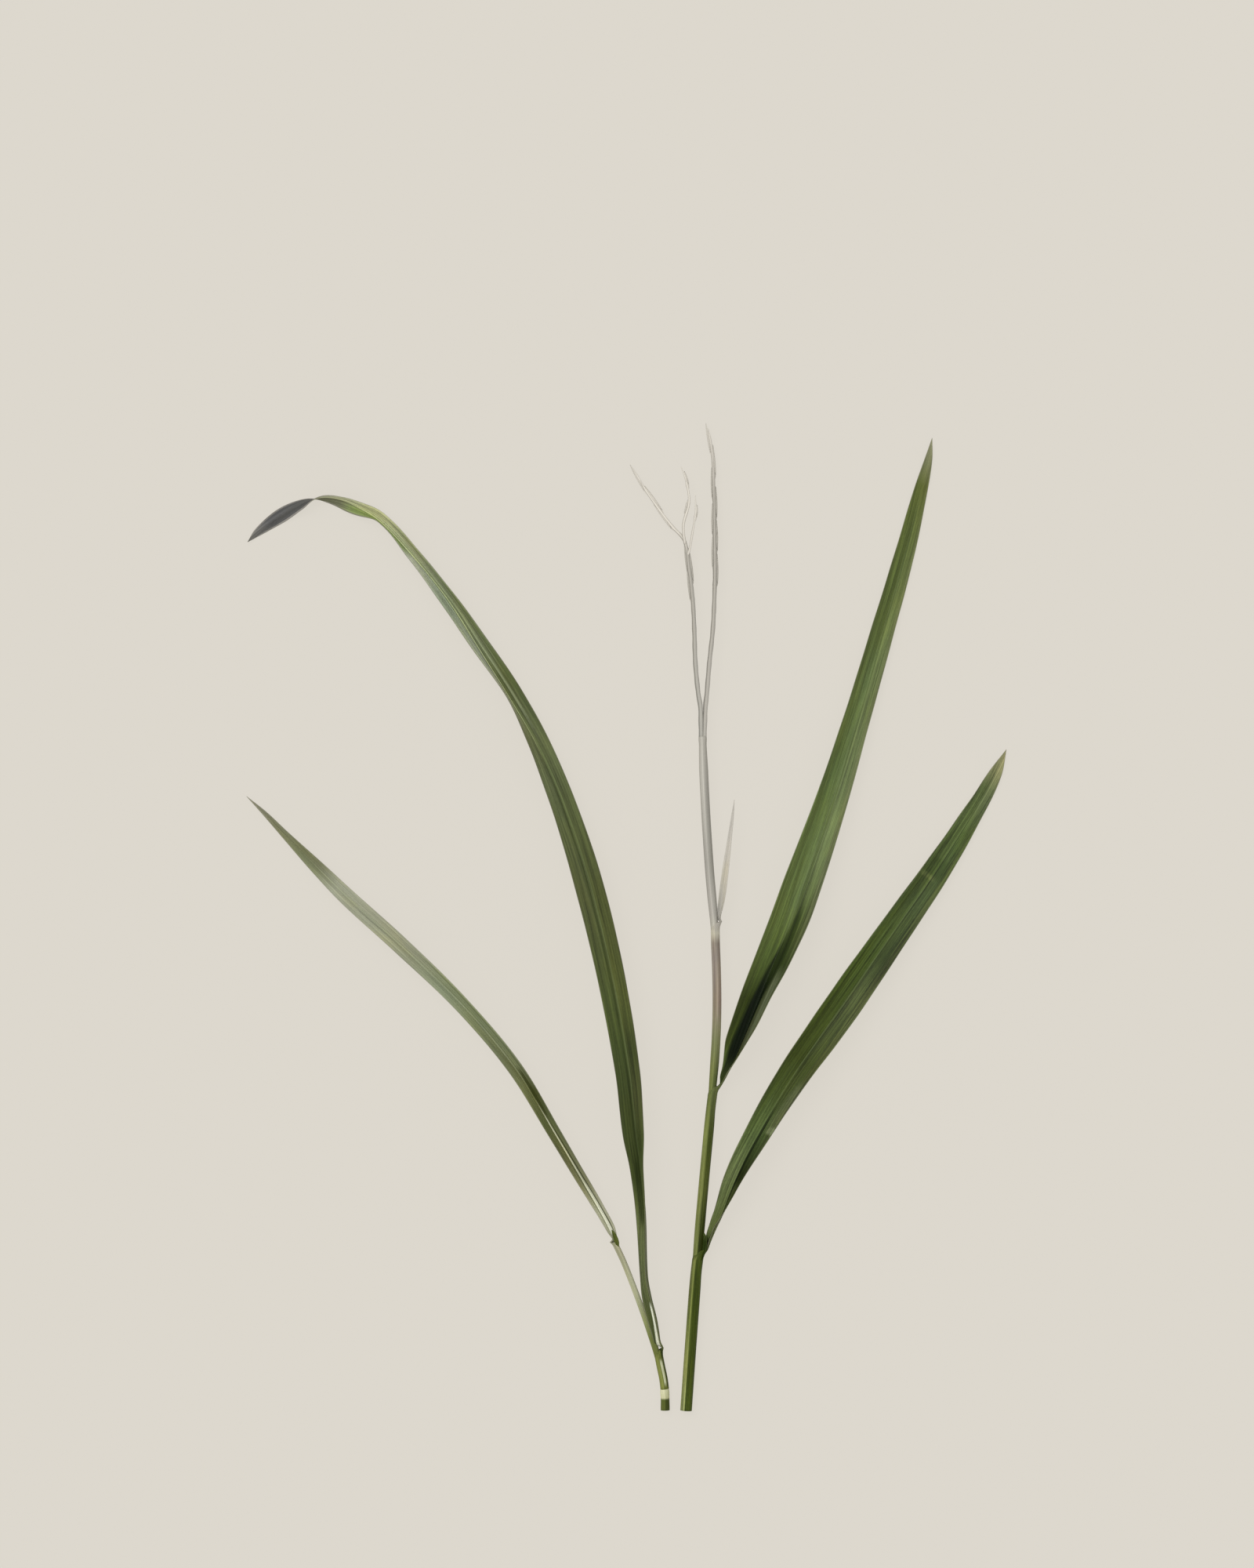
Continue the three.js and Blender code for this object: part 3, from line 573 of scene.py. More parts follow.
class Paint:
    """Builds one material out of nodes. Values may be numbers, colours or other nodes' outputs."""

    def __init__(self, name, roughness, specular=0.13):
        self.material = bpy.data.materials.new(name)
        self.material.use_nodes = True
        self.tree = self.material.node_tree
        self.shader = self.tree.nodes["Principled BSDF"]
        self.shader.inputs["Roughness"].default_value = roughness
        self.shader.inputs["Specular IOR Level"].default_value = specular
        self.round, self.up = self.uv("leaf")
        self.across, self.along = self.uv("ruler")
        self.under, self.depth = self.uv("face")
        self.share = self.math("MULTIPLY_ADD", self.round, 2, -1)
        self.size = self.absolute(self.share)

    def node(self, kind, **settings):
        node = self.tree.nodes.new("ShaderNode" + kind)
        for key, value in settings.items():
            setattr(node, key, value)
        return node

    def feed(self, value, socket):
        if isinstance(value, bpy.types.NodeSocket):
            self.tree.links.new(value, socket)
        else:
            socket.default_value = value

    def uv(self, name):
        split = self.node("SeparateXYZ")
        self.feed(self.node("UVMap", uv_map=name).outputs[0], split.inputs[0])
        return split.outputs[0], split.outputs[1]

    def math(self, operation, *values):
        node = self.node("Math", operation=operation)
        for value, socket in zip(values, node.inputs):
            self.feed(value, socket)
        return node.outputs[0]

    def times(self, first, *others):
        for other in others:
            first = self.math("MULTIPLY", first, other)
        return first

    def vary(self, factor, source, amount):
        """factor, raised and lowered as source goes above and below a half."""
        return self.math("MULTIPLY_ADD", self.math("SUBTRACT", source, 0.5), amount, factor)

    def cosine(self, turn):
        return self.math("COSINE", turn)

    def absolute(self, value):
        return self.math("ABSOLUTE", value)

    def fade(self, value, low, high, bottom=0.0, top=1.0, kind="SMOOTHSTEP"):
        node = self.node("MapRange", interpolation_type=kind)
        for number, socket in zip((value, low, high, bottom, top), node.inputs):
            self.feed(number, socket)
        return node.outputs[0]

    def ramp(self, value, length, stops, gains=NO_GAIN):
        """Colours by distance along the piece, from rows of millimetres, red, green and blue.

        gains are pairs of millimetres and the gain found there."""
        node = self.node("ValToRGB")
        elements = node.color_ramp.elements
        while len(elements) < len(stops):
            elements.new(0.5)
        for element, (distance, *_) in zip(elements, stops):
            element.position = min(max(distance / length, 0), 1)
        for element, (distance, *colour) in zip(elements, stops):
            element.color = linear(colour, np.interp(distance, *zip(*gains)))
        self.feed(self.math("DIVIDE", value, length), node.inputs[0])
        return node.outputs[0]

    def mix(self, factor, a, b, blend="MIX"):
        node = self.node("Mix", data_type="RGBA", blend_type=blend)
        self.feed(factor, node.inputs[0])
        self.feed(a, node.inputs[6])
        self.feed(b, node.inputs[7])
        return node.outputs[2]

    def noise(self, x_scale, y_scale, seed, detail=3.0, roughness=0.55):
        """Noise over the piece in millimetres, stretched along it."""
        place = self.node("CombineXYZ")
        self.feed(self.times(self.across, x_scale), place.inputs[0])
        self.feed(self.times(self.along, y_scale), place.inputs[1])
        self.feed(self.math("MULTIPLY_ADD", self.under, 7.0, seed), place.inputs[2])
        node = self.node("TexNoise")
        self.feed(place.outputs[0], node.inputs["Vector"])
        node.inputs["Scale"].default_value = 1.0
        node.inputs["Detail"].default_value = detail
        node.inputs["Roughness"].default_value = roughness
        return node.outputs["Fac"]

    def shade(self, colour, factor):
        node = self.node("VectorMath", operation="SCALE")
        self.feed(colour, node.inputs[0])
        self.feed(factor, node.inputs["Scale"])
        return node.outputs[0]

    def stripe(self, start, end, centre, half, soft=0.3, ends=None, unit="share", side="both"):
        """A mask: a stripe from start to end, whose centre and half-width change evenly."""
        value = self.share if unit == "share" else self.across
        gone = self.fade(self.along, start, end, kind="LINEAR")
        middle = self.math("MULTIPLY_ADD", gone, centre[1] - centre[0], centre[0])
        reach = self.math("MULTIPLY_ADD", gone, half[1] - half[0], half[0])
        off = self.absolute(self.math("SUBTRACT", value, middle))
        ends = (end - start) * STRIPE_END if ends is None else ends
        mask = self.times(
            self.fade(self.math("DIVIDE", off, reach), 1 + soft, 1 - soft),
            self.fade(self.along, start - ends, start + ends),
            self.fade(self.along, end + ends, end - ends))
        if side == "upper":
            mask = self.times(mask, self.math("SUBTRACT", 1, self.under))
        if side == "under":
            mask = self.times(mask, self.under)
        return mask

    def veins(self, count):
        """Narrow lines along the piece: 1 on a vein and 0 between two of them."""
        warp = self.times(self.noise(0.2, 0.03, 3.7), VEIN_WANDER)
        turn = self.math("MULTIPLY_ADD", self.size, count * 2 * math.pi, warp)
        return self.fade(self.cosine(turn), 0.35, 1.0)

    def finish(self, colour, height, depth=0.06, rough=None):
        self.feed(colour, self.shader.inputs["Base Color"])
        if rough is not None:
            self.feed(rough, self.shader.inputs["Roughness"])
        bump = self.node("Bump")
        bump.inputs["Strength"].default_value = 0.6
        bump.inputs["Distance"].default_value = depth * MM
        self.feed(height, bump.inputs["Height"])
        self.feed(bump.outputs[0], self.shader.inputs["Normal"])
        return self.material


def stripe(where, colour, strength, gain=None, **how):
    """A stripe on a leaf. where is (start, end, (centre, centre), (half-width, half-width)), with
    start and end in millimetres along the leaf, and how is what Paint.stripe takes."""
    return where, colour, strength, gain, how


def leaf_material(name, leaf, looks, seed):
    """A grass leaf: colours along each half and stripes, partly painted light and shade, midrib, margins,
    veins, streaks and blotches.
    """
    p = Paint(name, ROUGHNESS)
    gains = {part: looks.get("gain_" + part, NO_GAIN) for part in ("left", "right", "under")}
    gains["under_outer"] = gains["under"]
    tint = {part: p.ramp(p.along, leaf.length, looks[part], gain) for part, gain in gains.items()}
    upper = p.mix(p.fade(p.share, -MIDRIB_BLUR, MIDRIB_BLUR), tint["left"], tint["right"])
    # On a sheath, the outer strip of the under face takes painted light as the flank the light falls on; the
    # rest of the sheath is painted shade.
    lit_side = p.times(p.fade(p.size, *looks.get("flank", (0.5, 0.62))),
                    p.fade(p.along, leaf.collar + 1.6, leaf.collar - 0.6))
    colour = p.mix(p.under, upper, p.mix(lit_side, tint["under"], tint["under_outer"]))
    for where, shade, strength, gain, how in looks["stripes"]:
        start, end, centre, _ = where
        if gain is None:
            gain = np.interp((start + end) / 2, *zip(*gains["left" if sum(centre) < 0 else "right"]))
        colour = p.mix(p.times(p.stripe(*where, **how), strength), colour, linear(shade, gain))
    streaks = p.noise(0.8, 0.018, seed, detail=5, roughness=0.75)
    threads = p.noise(2.6, 0.05, seed + 0.7, detail=3, roughness=0.6)
    blotches = p.noise(0.25, 0.06, seed + 1.3, detail=2)
    grain = p.noise(5.0, 0.9, seed + 2.1, detail=2)
    pale_veins = p.times(p.veins(looks.get("veins", 6)), p.fade(streaks, 0.35, 0.7))
    fine_veins = p.veins(looks.get("fine_veins", 17))
    yellower = p.mix(1.0, colour, YELLOWER, blend="MULTIPLY")
    colour = p.mix(p.fade(blotches, 0.42, 0.72, top=0.35), colour, yellower)
    contrast = looks.get("streak", 1.0)
    factor = 1.0
    for source, amount in ((streaks, 1.8 * contrast), (threads, 1.2 * contrast),
                           (grain, 0.45 * contrast), (blotches, 0.3)):
        factor = p.vary(factor, source, amount)
    factor = p.math("MULTIPLY_ADD", pale_veins, looks.get("pale", 0.25), factor)
    factor = p.math("MULTIPLY_ADD", fine_veins, -0.2 * contrast, factor)
    colour = p.shade(colour, p.math("MAXIMUM", p.times(factor, LEAF_LEVEL), DARKEST_STREAK))
    away = p.absolute(p.across)
    edge = p.math("SUBTRACT", p.math("DIVIDE", away, p.math("MAXIMUM", p.size, 0.02)), away)
    past_collar = p.absolute(p.math("SUBTRACT", p.along, leaf.collar + 1.5))
    margin = p.times(p.fade(edge, looks.get("edge", 0.2), 0.04), looks.get("margin_strength", 0.6),
                     p.fade(past_collar, 3, 5))
    colour = p.mix(margin, colour, linear(looks["margin"]))
    height = p.math("MULTIPLY_ADD", fine_veins, 0.8, p.times(grain, 0.5))
    rough = p.fade(streaks, 0.25, 0.8, bottom=0.42, top=0.62, kind="LINEAR")
    return p.finish(colour, height, rough=rough)


def stem_material(name, length, low, high, cut, seed, ribs=14, streak=0.5, rim_shading=0.0, shine=0.0):
    """A stem: colours along its left and right flanks, on the culms painted light on the left and painted
    shade on the right; painted shade at the edges with a lighter middle, a painted highlight, ribs, and pith
    where it was cut.
    """
    p = Paint(name, ROUGHNESS)
    turn = p.times(p.round, 2 * math.pi)
    sideways = p.cosine(turn)
    colour = p.mix(p.fade(sideways, 0.25, -0.25), p.ramp(p.along, length, low),
                   p.ramp(p.along, length, high))
    streaks = p.noise(2.2, 0.03, seed, detail=4)
    grain = p.noise(6.0, 1.4, seed + 1.0, detail=2)
    rib = p.fade(p.cosine(p.times(turn, ribs)), -0.2, 1)
    factor = p.math("MULTIPLY_ADD", rib, 0.1, p.vary(p.vary(1.0, streaks, streak), grain, 0.2))
    # Painted shade along both edges and painted light down the middle, then a painted highlight.
    edge = p.fade(p.absolute(sideways), 0.3, 0.9, bottom=rim_shading / 2, top=-rim_shading)
    glint = p.times(p.fade(p.absolute(p.math("ADD", sideways, -0.15)), 0.3, 0.1, top=shine),
                    p.fade(p.math("SINE", turn), 0, 0.3))
    colour = p.shade(colour, p.math("ADD", p.math("ADD", factor, edge), glint))
    flesh = p.mix(p.fade(p.depth, 0.35, 0.7), linear(cut[0]), linear(cut[1]))
    flesh = p.shade(flesh, p.fade(p.noise(7, 7, seed + 2), 0.3, 0.7, bottom=0.75, top=1.1))
    height = p.math("MULTIPLY_ADD", rib, 0.7, p.times(grain, 0.6))
    return p.finish(p.mix(p.under, colour, flesh), height)


def put(piece, material, slot, *nodes):
    piece.data.materials.append(material)
    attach(piece, "root")
    if nodes:
        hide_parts(*nodes)


# ---- Leaves: looks -----------------------------------------------------------------------------
LOWER_LOOKS = {
    # From about 56 to 90 mm the left half is painted lighter and the right half darker: painted light and
    # painted shade of the fold.
    "left": [(46, 70, 85, 40), (56, 104, 116, 70), (76, 109, 122, 77), (89, 90, 106, 62), (102, 74, 88, 46),
        (115, 62, 72, 32), (150, 66, 80, 38), (176, 76, 90, 52), (200, 80, 94, 54), (216, 88, 100, 62),
        (228, 150, 150, 115)],
    "right": [(46, 60, 70, 34), (62, 50, 60, 26), (76, 46, 54, 24), (89, 66, 80, 44), (102, 66, 76, 40),
        (115, 62, 72, 34), (140, 86, 97, 58), (155, 64, 76, 42), (178, 76, 90, 54), (200, 76, 92, 50),
        (216, 106, 116, 80), (228, 165, 162, 125)],
    # Along the sheath, the under ramp is darker as painted shade, and the ramp after it lighter as painted
    # light on the flank the light falls on.
    "under": [(0, 72, 84, 30), (30, 62, 74, 24), (46, 62, 73, 27), (60, 60, 70, 34), (120, 110, 118, 84),
        (228, 124, 130, 98)],
    "under_outer": [(0, 136, 143, 92), (14, 136, 142, 86), (28, 112, 121, 64), (46, 116, 123, 68),
        (60, 96, 106, 64), (120, 108, 118, 84), (228, 124, 130, 98)],
    "stripes": [
        stripe((52, 72, (0.5, 0.45), (0.3, 0.3)), (112, 124, 74), 0.4),
        # Painted shade in the fold, just right of the midrib.
        stripe((60, 96, (0.14, 0.12), (0.14, 0.1)), (30, 38, 14), 0.75, side="upper"),
        stripe((96, 215, (0.1, 0.05), (0.02, 0.03)), (48, 58, 26), 0.65),
        stripe((96, 215, (-0.02, -0.03), (0.035, 0.04)), (98, 112, 72), 0.4),
        stripe((84, 190, (-0.74, -0.7), (0.18, 0.16)), (56, 66, 24), 0.5),
        stripe((86, 200, (0.82, 0.8), (0.14, 0.14)), (92, 94, 58), 0.3),
        # A painted highlight across a crease, then painted shade just past it.
        stripe((182.8, 184.4, (-0.34, -0.34), (0.5, 0.5)), (118, 128, 78), 0.4, ends=0.5, soft=0.6),
        stripe((184, 190, (0.0, 0.0), (0.8, 0.7)), (58, 74, 36), 0.4),
        # Painted light where the right flank, shaded below, turns up to the light.
        stripe((90.6, 93.2, (0.76, 0.84), (0.3, 0.2)), (128, 138, 104), 0.6, ends=0.6, soft=0.7),
        stripe((92, 108, (0.7, 0.8), (0.36, 0.24)), (104, 112, 80), 0.4, ends=3, soft=0.7),
    ],
    "gain_left": [(60, 1), (72, 0.92), (92, 1.15), (104, 0.95), (120, 1.1), (150, 1.05), (178, 1.15),
        (228, 1)],
    "gain_right": [(60, 0.9), (72, 0.75), (80, 0.8), (92, 1.2), (110, 1.05), (127, 0.9), (152, 0.88),
        (180, 1.0), (205, 1.02), (228, 0.9)],
    "margin": (150, 146, 128), "edge": 0.22, "veins": 7, "pale": 0.4, "streak": 1.45, "flank": (0.59, 0.68),
}
UPPER_LOOKS = {
    # From about 76 to 104 mm the halves' dark colours are painted shade inside the fold.
    "left": [(59, 66, 78, 40), (70, 66, 78, 40), (76, 58, 68, 32), (90, 46, 54, 22), (104, 76, 90, 46),
        (120, 86, 100, 56), (136, 92, 107, 62), (165, 90, 106, 62), (195, 86, 99, 58), (226, 84, 96, 52),
        (256, 90, 100, 54), (271, 150, 150, 120)],
    "right": [(59, 66, 78, 42), (70, 60, 70, 36), (78, 80, 84, 58), (90, 84, 92, 62), (104, 54, 66, 32),
        (120, 82, 94, 54), (136, 108, 122, 78), (152, 116, 131, 86), (180, 108, 121, 78),
        (205, 106, 119, 74), (240, 97, 108, 60), (256, 94, 101, 54), (271, 150, 150, 120)],
    # Along the sheath, the under ramp is darker as painted shade, and the ramp after it lighter as painted
    # light on the flank the light falls on.
    "under": [(0, 66, 78, 30), (14, 52, 60, 24), (30, 78, 86, 40), (45, 68, 78, 32), (60, 92, 100, 60),
        (80, 100, 110, 72), (140, 118, 126, 92), (271, 124, 130, 98)],
    "under_outer": [(0, 112, 120, 62), (14, 124, 132, 76), (30, 124, 132, 78), (45, 122, 130, 74),
        (60, 101, 110, 62), (80, 104, 112, 74), (140, 118, 126, 92), (271, 124, 130, 98)],
    "stripes": [
        # Painted shade: the near-black inside of the fold, then a dark tongue of shade on the right half.
        stripe((66, 110, (-0.38, 0.22), (0.44, 0.24)), (14, 27, 2), 1, side="upper", ends=7, soft=0.4),
        stripe((98, 122, (0.2, 0.36), (0.34, 0.12)), (42, 53, 22), 0.85, side="upper", ends=5),
        stripe((76, 100, (0.62, 0.66), (0.2, 0.2)), (104, 112, 84), 0.75, side="upper", ends=4),
        stripe((112, 255, (0.16, 0.1), (0.05, 0.06)), (84, 98, 56), 0.75),
        stripe((116, 200, (-0.12, -0.1), (0.2, 0.2)), (105, 122, 76), 0.7),
        stripe((96, 250, (-0.8, -0.76), (0.16, 0.14)), (80, 90, 48), 0.6),
        stripe((112, 250, (0.86, 0.84), (0.12, 0.12)), (104, 108, 76), 0.5),
    ],
    "gain_left": [(90, 1.3), (105, 1.3), (120, 1.12), (150, 1.0), (200, 0.98), (215, 1.15), (240, 1.1),
        (271, 1)],
    "gain_right": [(90, 0.9), (120, 1.05), (150, 0.84), (180, 0.97), (205, 1.0), (226, 1.1), (256, 1.1),
        (271, 1)],
    "margin": (156, 154, 134), "edge": 0.22, "veins": 7, "pale": 0.3, "flank": (0.5, 0.66),
}
ARCHING_LOOKS = {
    # From about 214 to 300 mm these colours, with the gains below, paint light where the blade is lit
    # brighter.
    "left": [(9, 70, 80, 40), (25, 84, 92, 56), (36, 106, 114, 76), (50, 102, 111, 73), (58, 84, 93, 55),
        (66, 62, 71, 38), (90, 60, 68, 38), (105, 66, 76, 42), (120, 76, 86, 48), (150, 82, 88, 56),
        (180, 88, 96, 64), (205, 97, 103, 74), (214, 118, 123, 100), (226, 137, 141, 124),
        (256, 133, 143, 121), (272, 148, 152, 140), (288, 131, 133, 116), (300, 122, 124, 98),
        (332, 120, 120, 100)],
    "right": [(9, 70, 80, 40), (36, 96, 100, 64), (60, 84, 91, 58), (75, 64, 74, 40), (90, 75, 80, 48),
        (105, 66, 74, 42), (120, 82, 89, 48), (150, 77, 83, 47), (180, 84, 92, 58), (205, 97, 105, 72),
        (226, 93, 101, 65), (240, 112, 120, 90), (256, 108, 115, 89), (271, 126, 130, 105),
        (286, 146, 148, 116), (300, 158, 161, 131), (332, 160, 160, 140)],
    # From 306 to 324 mm the under face is painted dark slate: painted shade on the twisted tip. Along the
    # sheath the under ramp is painted shade and the next ramp painted light.
    "under": [(0, 112, 118, 58), (9, 104, 112, 54), (30, 90, 98, 60), (60, 92, 100, 64),
        (150, 120, 126, 98), (295, 150, 152, 130), (306, 92, 92, 88), (324, 91, 91, 92),
        (332, 120, 118, 112)],
    "under_outer": [(0, 126, 132, 70), (9, 124, 130, 70), (60, 92, 100, 64), (150, 120, 126, 98),
        (295, 150, 152, 130), (306, 92, 92, 88), (324, 91, 91, 92), (332, 120, 118, 112)],
    "stripes": [
        stripe((11, 27, (-0.6, -0.45), (0.72, 0.34)), (206, 209, 195), 0.95, gain=1.45, side="upper",
               ends=1.5, unit="mm", soft=0.3),
        stripe((10, 30, (0.7, 0.5), (0.5, 0.4)), (52, 60, 32), 0.8, side="upper", unit="mm", ends=1),
        stripe((1.5, 9, (0.42, 0.42), (0.09, 0.11)), (196, 198, 168), 0.6, side="under", ends=1),
        stripe((0.5, 10, (0.2, 0.2), (0.12, 0.12)), (56, 62, 28), 0.8, side="under", ends=0.5),
        stripe((52, 72, (-0.35, -0.3), (0.26, 0.24)), (40, 48, 20), 0.6),
        stripe((70, 210, (0.08, 0.1), (0.05, 0.05)), (100, 112, 74), 0.55),
        stripe((70, 200, (-0.1, -0.08), (0.08, 0.07)), (56, 66, 34), 0.55),
        stripe((206, 296, (-0.06, 0.0), (0.06, 0.07)), (176, 186, 140), 0.85, side="upper"),
        stripe((204, 226, (-0.24, -0.2), (0.24, 0.12)), (98, 105, 74), 0.8, side="upper", ends=4, soft=0.4),
        stripe((210, 290, (0.35, 0.3), (0.07, 0.07)), (140, 148, 118), 0.5),
        stripe((206, 285, (0.78, 0.8), (0.12, 0.12)), (74, 84, 52), 0.6),
        stripe((274, 298, (-0.5, -0.5), (0.38, 0.36)), (112, 128, 74), 0.85, side="upper", ends=3),
        stripe((302, 333, (0.86, 0.86), (0.1, 0.1)), (160, 156, 150), 0.7),
        stripe((302, 333, (-0.86, -0.86), (0.1, 0.1)), (160, 156, 150), 0.7),
    ],
    "gain_left": [(36, 1.1), (60, 1.25), (75, 1.1), (111, 1.15), (150, 1.0), (185, 1.15), (200, 1.1),
        (212, 1.25), (222, 1.55), (240, 1.2), (259, 1.5), (277, 1.95), (288, 1.4), (296, 0.98), (333, 1)],
    "gain_right": [(36, 1.5), (60, 1.5), (80, 1.2), (120, 1.0), (150, 1.1), (203, 0.95), (222, 0.95),
        (240, 1.15), (259, 1.95), (277, 1.8), (296, 2.3), (304, 1.3), (314, 1), (333, 1)],
    "margin": (140, 136, 124), "edge": 0.2, "veins": 6, "pale": 0.26,
}
LEFT_LOOKS = {
    "left": [(43, 160, 160, 134), (56, 160, 161, 138), (66, 116, 117, 88), (76, 94, 96, 66),
        (88, 86, 92, 58), (100, 98, 102, 68), (112, 108, 114, 86), (126, 122, 129, 98),
        (140, 135, 143, 117), (154, 143, 146, 122), (170, 148, 151, 130), (185, 148, 151, 132),
        (193, 120, 124, 96), (200, 114, 119, 90), (212, 124, 125, 98), (223, 150, 148, 128)],
    "right": [(43, 160, 160, 134), (56, 150, 150, 128), (66, 120, 120, 92), (76, 104, 108, 80),
        (88, 84, 90, 60), (98, 60, 64, 38), (108, 100, 106, 80), (126, 115, 123, 94), (140, 126, 133, 104),
        (154, 140, 142, 120), (170, 152, 154, 134), (185, 150, 153, 134), (193, 120, 122, 96),
        (200, 116, 120, 92), (212, 128, 130, 104), (223, 150, 148, 128)],
    # Along the sheath, the under ramp is darker as painted shade, and the ramp after it lighter as painted
    # light on the flank the light falls on.
    "under": [(0, 92, 96, 42), (13, 104, 112, 64), (20, 136, 142, 98), (28, 164, 166, 138),
        (42, 160, 160, 134), (60, 150, 150, 126), (223, 150, 152, 134)],
    "under_outer": [(0, 100, 106, 52), (13, 112, 120, 72), (20, 144, 148, 106), (28, 166, 168, 142),
        (42, 163, 162, 138), (60, 150, 150, 126), (223, 150, 152, 134)],
    "stripes": [
        stripe((46, 66, (0.12, 0.1), (0.44, 0.26)), (206, 207, 190), 0.9, gain=1.4, side="upper", ends=2,
               soft=0.35),
        stripe((62, 92, (0.1, 0.05), (0.2, 0.07)), (192, 193, 170), 0.85, gain=1.4, side="upper", ends=5,
               soft=0.35),
        stripe((48, 88, (0.56, 0.24), (0.12, 0.09)), (66, 70, 44), 0.85),
        stripe((48, 88, (-0.36, -0.14), (0.09, 0.08)), (84, 88, 58), 0.7),
        stripe((90, 106, (0.3, 0.35), (0.24, 0.2)), (44, 48, 26), 0.75),
        stripe((106, 190, (0.0, 0.0), (0.08, 0.08)), (142, 148, 122), 0.55),
        stripe((100, 150, (0.75, 0.75), (0.1, 0.1)), (78, 84, 58), 0.55),
    ],
    "gain_left": [(43, 1.3), (52, 1.7), (61, 1.5), (74, 1.35), (87, 1.4), (99, 1.7), (112, 1.15),
        (136, 1.2), (149, 1.12), (162, 1.1), (174, 1.2), (199, 1.3), (212, 1.25), (224, 1.1)],
    "gain_right": [(43, 1.3), (52, 1.7), (61, 1.3), (74, 1.15), (87, 1.4), (99, 1.8), (112, 1.6),
        (124, 1.4), (136, 1.5), (149, 1.35), (162, 1.15), (186, 1.2), (199, 1), (224, 1)],
    "gain_under": [(0, 1), (12, 1.1), (24, 1.22), (37, 1.12), (50, 1)],
    "margin": (160, 157, 142), "edge": 0.2, "veins": 5, "fine_veins": 12, "pale": 0.15, "streak": 0.6,
}
FLAG_LOOKS = {
    "left": [(54, 190, 186, 176), (62, 178, 175, 167), (70, 190, 187, 179), (80, 203, 199, 190),
        (92, 211, 206, 197)],
    "right": [(54, 196, 192, 183), (62, 190, 187, 179), (70, 196, 192, 184), (80, 203, 198, 189),
        (92, 209, 204, 195)],
    # Along the sheath, the under ramp is darker as painted shade, and the ramp after it lighter as painted
    # light on the flank the light falls on.
    "under": [(0, 84, 92, 44), (10, 92, 101, 58), (21, 122, 127, 90), (28, 138, 134, 116),
        (33, 146, 132, 122), (42, 150, 141, 132), (51, 138, 130, 122), (54, 190, 187, 173),
        (56, 176, 172, 163), (95, 196, 192, 183)],
    "under_outer": [(0, 112, 122, 62), (10, 116, 124, 74), (21, 122, 128, 92), (28, 138, 134, 114),
        (33, 142, 133, 118), (42, 150, 140, 131), (51, 150, 142, 133), (54, 190, 187, 173),
        (56, 180, 176, 167), (95, 196, 192, 183)],
    "stripes": [
        stripe((28, 52, (0.28, 0.28), (0.06, 0.06)), (116, 103, 98), 0.7),
        stripe((28, 52, (0.5, 0.5), (0.04, 0.04)), (176, 164, 156), 0.5),
        stripe((28, 52, (0.68, 0.68), (0.05, 0.05)), (122, 109, 104), 0.6),
    ],
    "margin": (196, 192, 183), "edge": 0.15, "veins": 3, "fine_veins": 7, "pale": 0.1, "streak": 0.45,
}


VEIN_HEIGHT = 0.035


def make_leaf(name, leaf, looks, slot, node, veins, keel, ripple, seed):
    relief = grass_relief(leaf, leaf.collar, veins, VEIN_HEIGHT, keel, ripple, seed)
    piece = mesh_piece(name, [leaf_part(leaf, relief)])
    put(piece, leaf_material(name + "_skin", leaf, looks, seed), slot, node)


make_leaf("lower_right_blade", LOWER_RIGHT, LOWER_LOOKS, "leaf_dark_green", "lower_right_leaf",
          5, 0.22, 0.07, 11)
make_leaf("upper_right_blade", UPPER_RIGHT, UPPER_LOOKS, "leaf_green", "upper_right_leaf",
          5, 0.22, 0.07, 23)
make_leaf("arching_blade", ARCHING, ARCHING_LOOKS, "leaf_dark_green", "arching_leaf",
          5, 0.2, 0.05, 37)
make_leaf("left_blade", LEFT, LEFT_LOOKS, "leaf_pale_green", "left_leaf", 4, 0.16, 0.04, 41)
make_leaf("flag_blade", FLAG, FLAG_LOOKS, "faded_straw", "flag_leaf", 3, 0.06, 0.02, 53)


# ---- Ligules: the small lobes where blades leave their sheaths, painted dark as shade ---------
def ligule_looks(dark, pale):
    looks = {"stripes": [], "margin": pale, "edge": 0.12, "margin_strength": 0.35, "veins": 2, "pale": 0.1}
    for part in ("left", "right", "under", "under_outer"):
        looks[part] = [(0, *dark), (6, *dark), (9, *pale)]
    return looks


